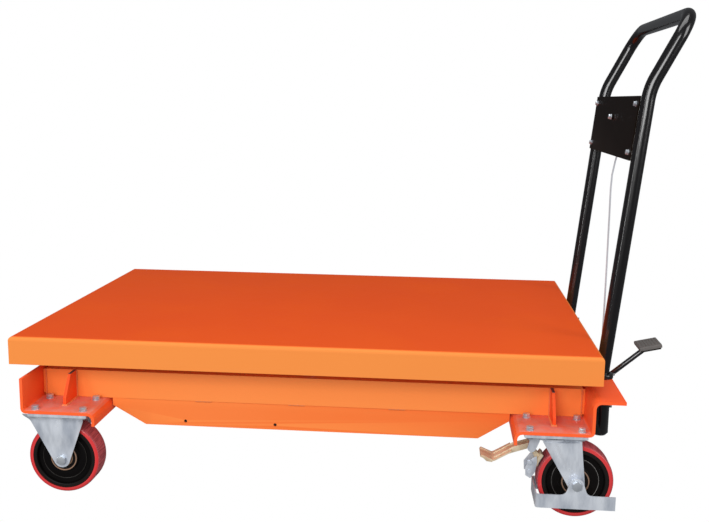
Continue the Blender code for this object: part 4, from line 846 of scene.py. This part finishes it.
makeHandle()
addPanelBolts()
for word, side in sides.items():
    makeWheel("fixed", word, side, "fixed_wheel_" + word)
    makeWheel("swivel", word, side, "swivel_wheel_" + word)
    makeAxle("fixed", word, side, "base")
    makeAxle("swivel", word, side, "swivel_" + word)
print("wheels made")
addCasterBolts()
addWelds()
addForkSides()
makeGuard()
addGussetEdges()
addHoleShadeDiscs()
addCrownRimAndRaceShade()
addBrakePad()
addBrakeDetail()
addRailEnds()
makePedal()
addPadRibs()
print("small pieces made")


def setCamera():
    view = {"yaw": -5.0969, "pitch": -9.7353, "roll": 0.7001, "lens": 47.674,
            "place": (0.2708 + shiftX, -2.1951, 0.8159)}
    yaw, pitch, roll = (math.radians(view[key]) for key in ("yaw", "pitch", "roll"))
    forward = Vector((math.sin(yaw) * math.cos(pitch), math.cos(yaw) * math.cos(pitch), math.sin(pitch)))
    right = Vector((math.cos(yaw), -math.sin(yaw), 0))
    up = right.cross(forward)
    rolledRight = right * math.cos(roll) + up * math.sin(roll)
    rolledUp = up * math.cos(roll) - right * math.sin(roll)
    data = bpy.data.cameras.new("camera")
    data.lens = view["lens"]
    data.sensor_width = 36
    camera = bpy.data.objects.new("camera", data)
    turn = Matrix((rolledRight, rolledUp, -forward)).transposed().to_4x4()
    camera.matrix_world = Matrix.Translation(view["place"]) @ turn
    bpy.context.scene.collection.objects.link(camera)
    bpy.context.scene.camera = camera


def addLight(name, place, target, size, power):
    data = bpy.data.lights.new(name, "AREA")
    data.shape = "RECTANGLE"
    data.size, data.size_y = size
    data.energy = power
    light = bpy.data.objects.new(name, data)
    aim = (Vector(target) - Vector(place)).to_track_quat("-Z", "Y")
    light.matrix_world = Matrix.Translation(place) @ aim.to_matrix().to_4x4()
    bpy.context.scene.collection.objects.link(light)


def setWorld():  # soft light all round, dim in reflections, white to the camera
    world = bpy.data.worlds.new("studio")
    bpy.context.scene.world = world
    world.use_nodes = True
    tree = world.node_tree
    tree.nodes.clear()
    output = tree.nodes.new("ShaderNodeOutputWorld")
    mix = tree.nodes.new("ShaderNodeMixShader")
    path = tree.nodes.new("ShaderNodeLightPath")
    soft = tree.nodes.new("ShaderNodeBackground")
    soft.inputs["Color"].default_value = (1.0, 0.985, 0.97, 1.0)
    soft.inputs["Strength"].default_value = 0.42
    white = tree.nodes.new("ShaderNodeBackground")
    white.inputs["Strength"].default_value = 1.0
    white.inputs["Color"].default_value = (1.0, 1.0, 1.0, 1.0)
    dim = tree.nodes.new("ShaderNodeBackground")
    dim.inputs["Color"].default_value = (0.92, 0.95, 1.0, 1.0)
    dim.inputs["Strength"].default_value = 0.11
    glossy = tree.nodes.new("ShaderNodeMixShader")
    tree.links.new(path.outputs["Is Glossy Ray"], glossy.inputs["Fac"])
    tree.links.new(soft.outputs[0], glossy.inputs[1])
    tree.links.new(dim.outputs[0], glossy.inputs[2])
    tree.links.new(path.outputs["Is Camera Ray"], mix.inputs["Fac"])
    tree.links.new(glossy.outputs[0], mix.inputs[1])
    tree.links.new(white.outputs[0], mix.inputs[2])
    tree.links.new(mix.outputs[0], output.inputs["Surface"])


setCamera()
setWorld()
addLight("frontKey", (-0.6, -3.2, 1.5), (0.0, 0.0, 0.25), (2.0, 1.4), 57)
addLight("rightFill", (2.6, -1.6, 1.4), (0.3, 0.0, 0.4), (1.2, 1.6), 24)
addLight("leftStrip", (-1.9, -2.2, 1.1), (0.55, 0.0, 0.6), (0.12, 1.8), 9)
addLight("topSoft", (0.0, -0.5, 3.0), (0.0, 0.0, 0.3), (2.4, 1.4), 27)
bpy.context.scene.view_settings.view_transform = "Standard"
print("camera and lights set")
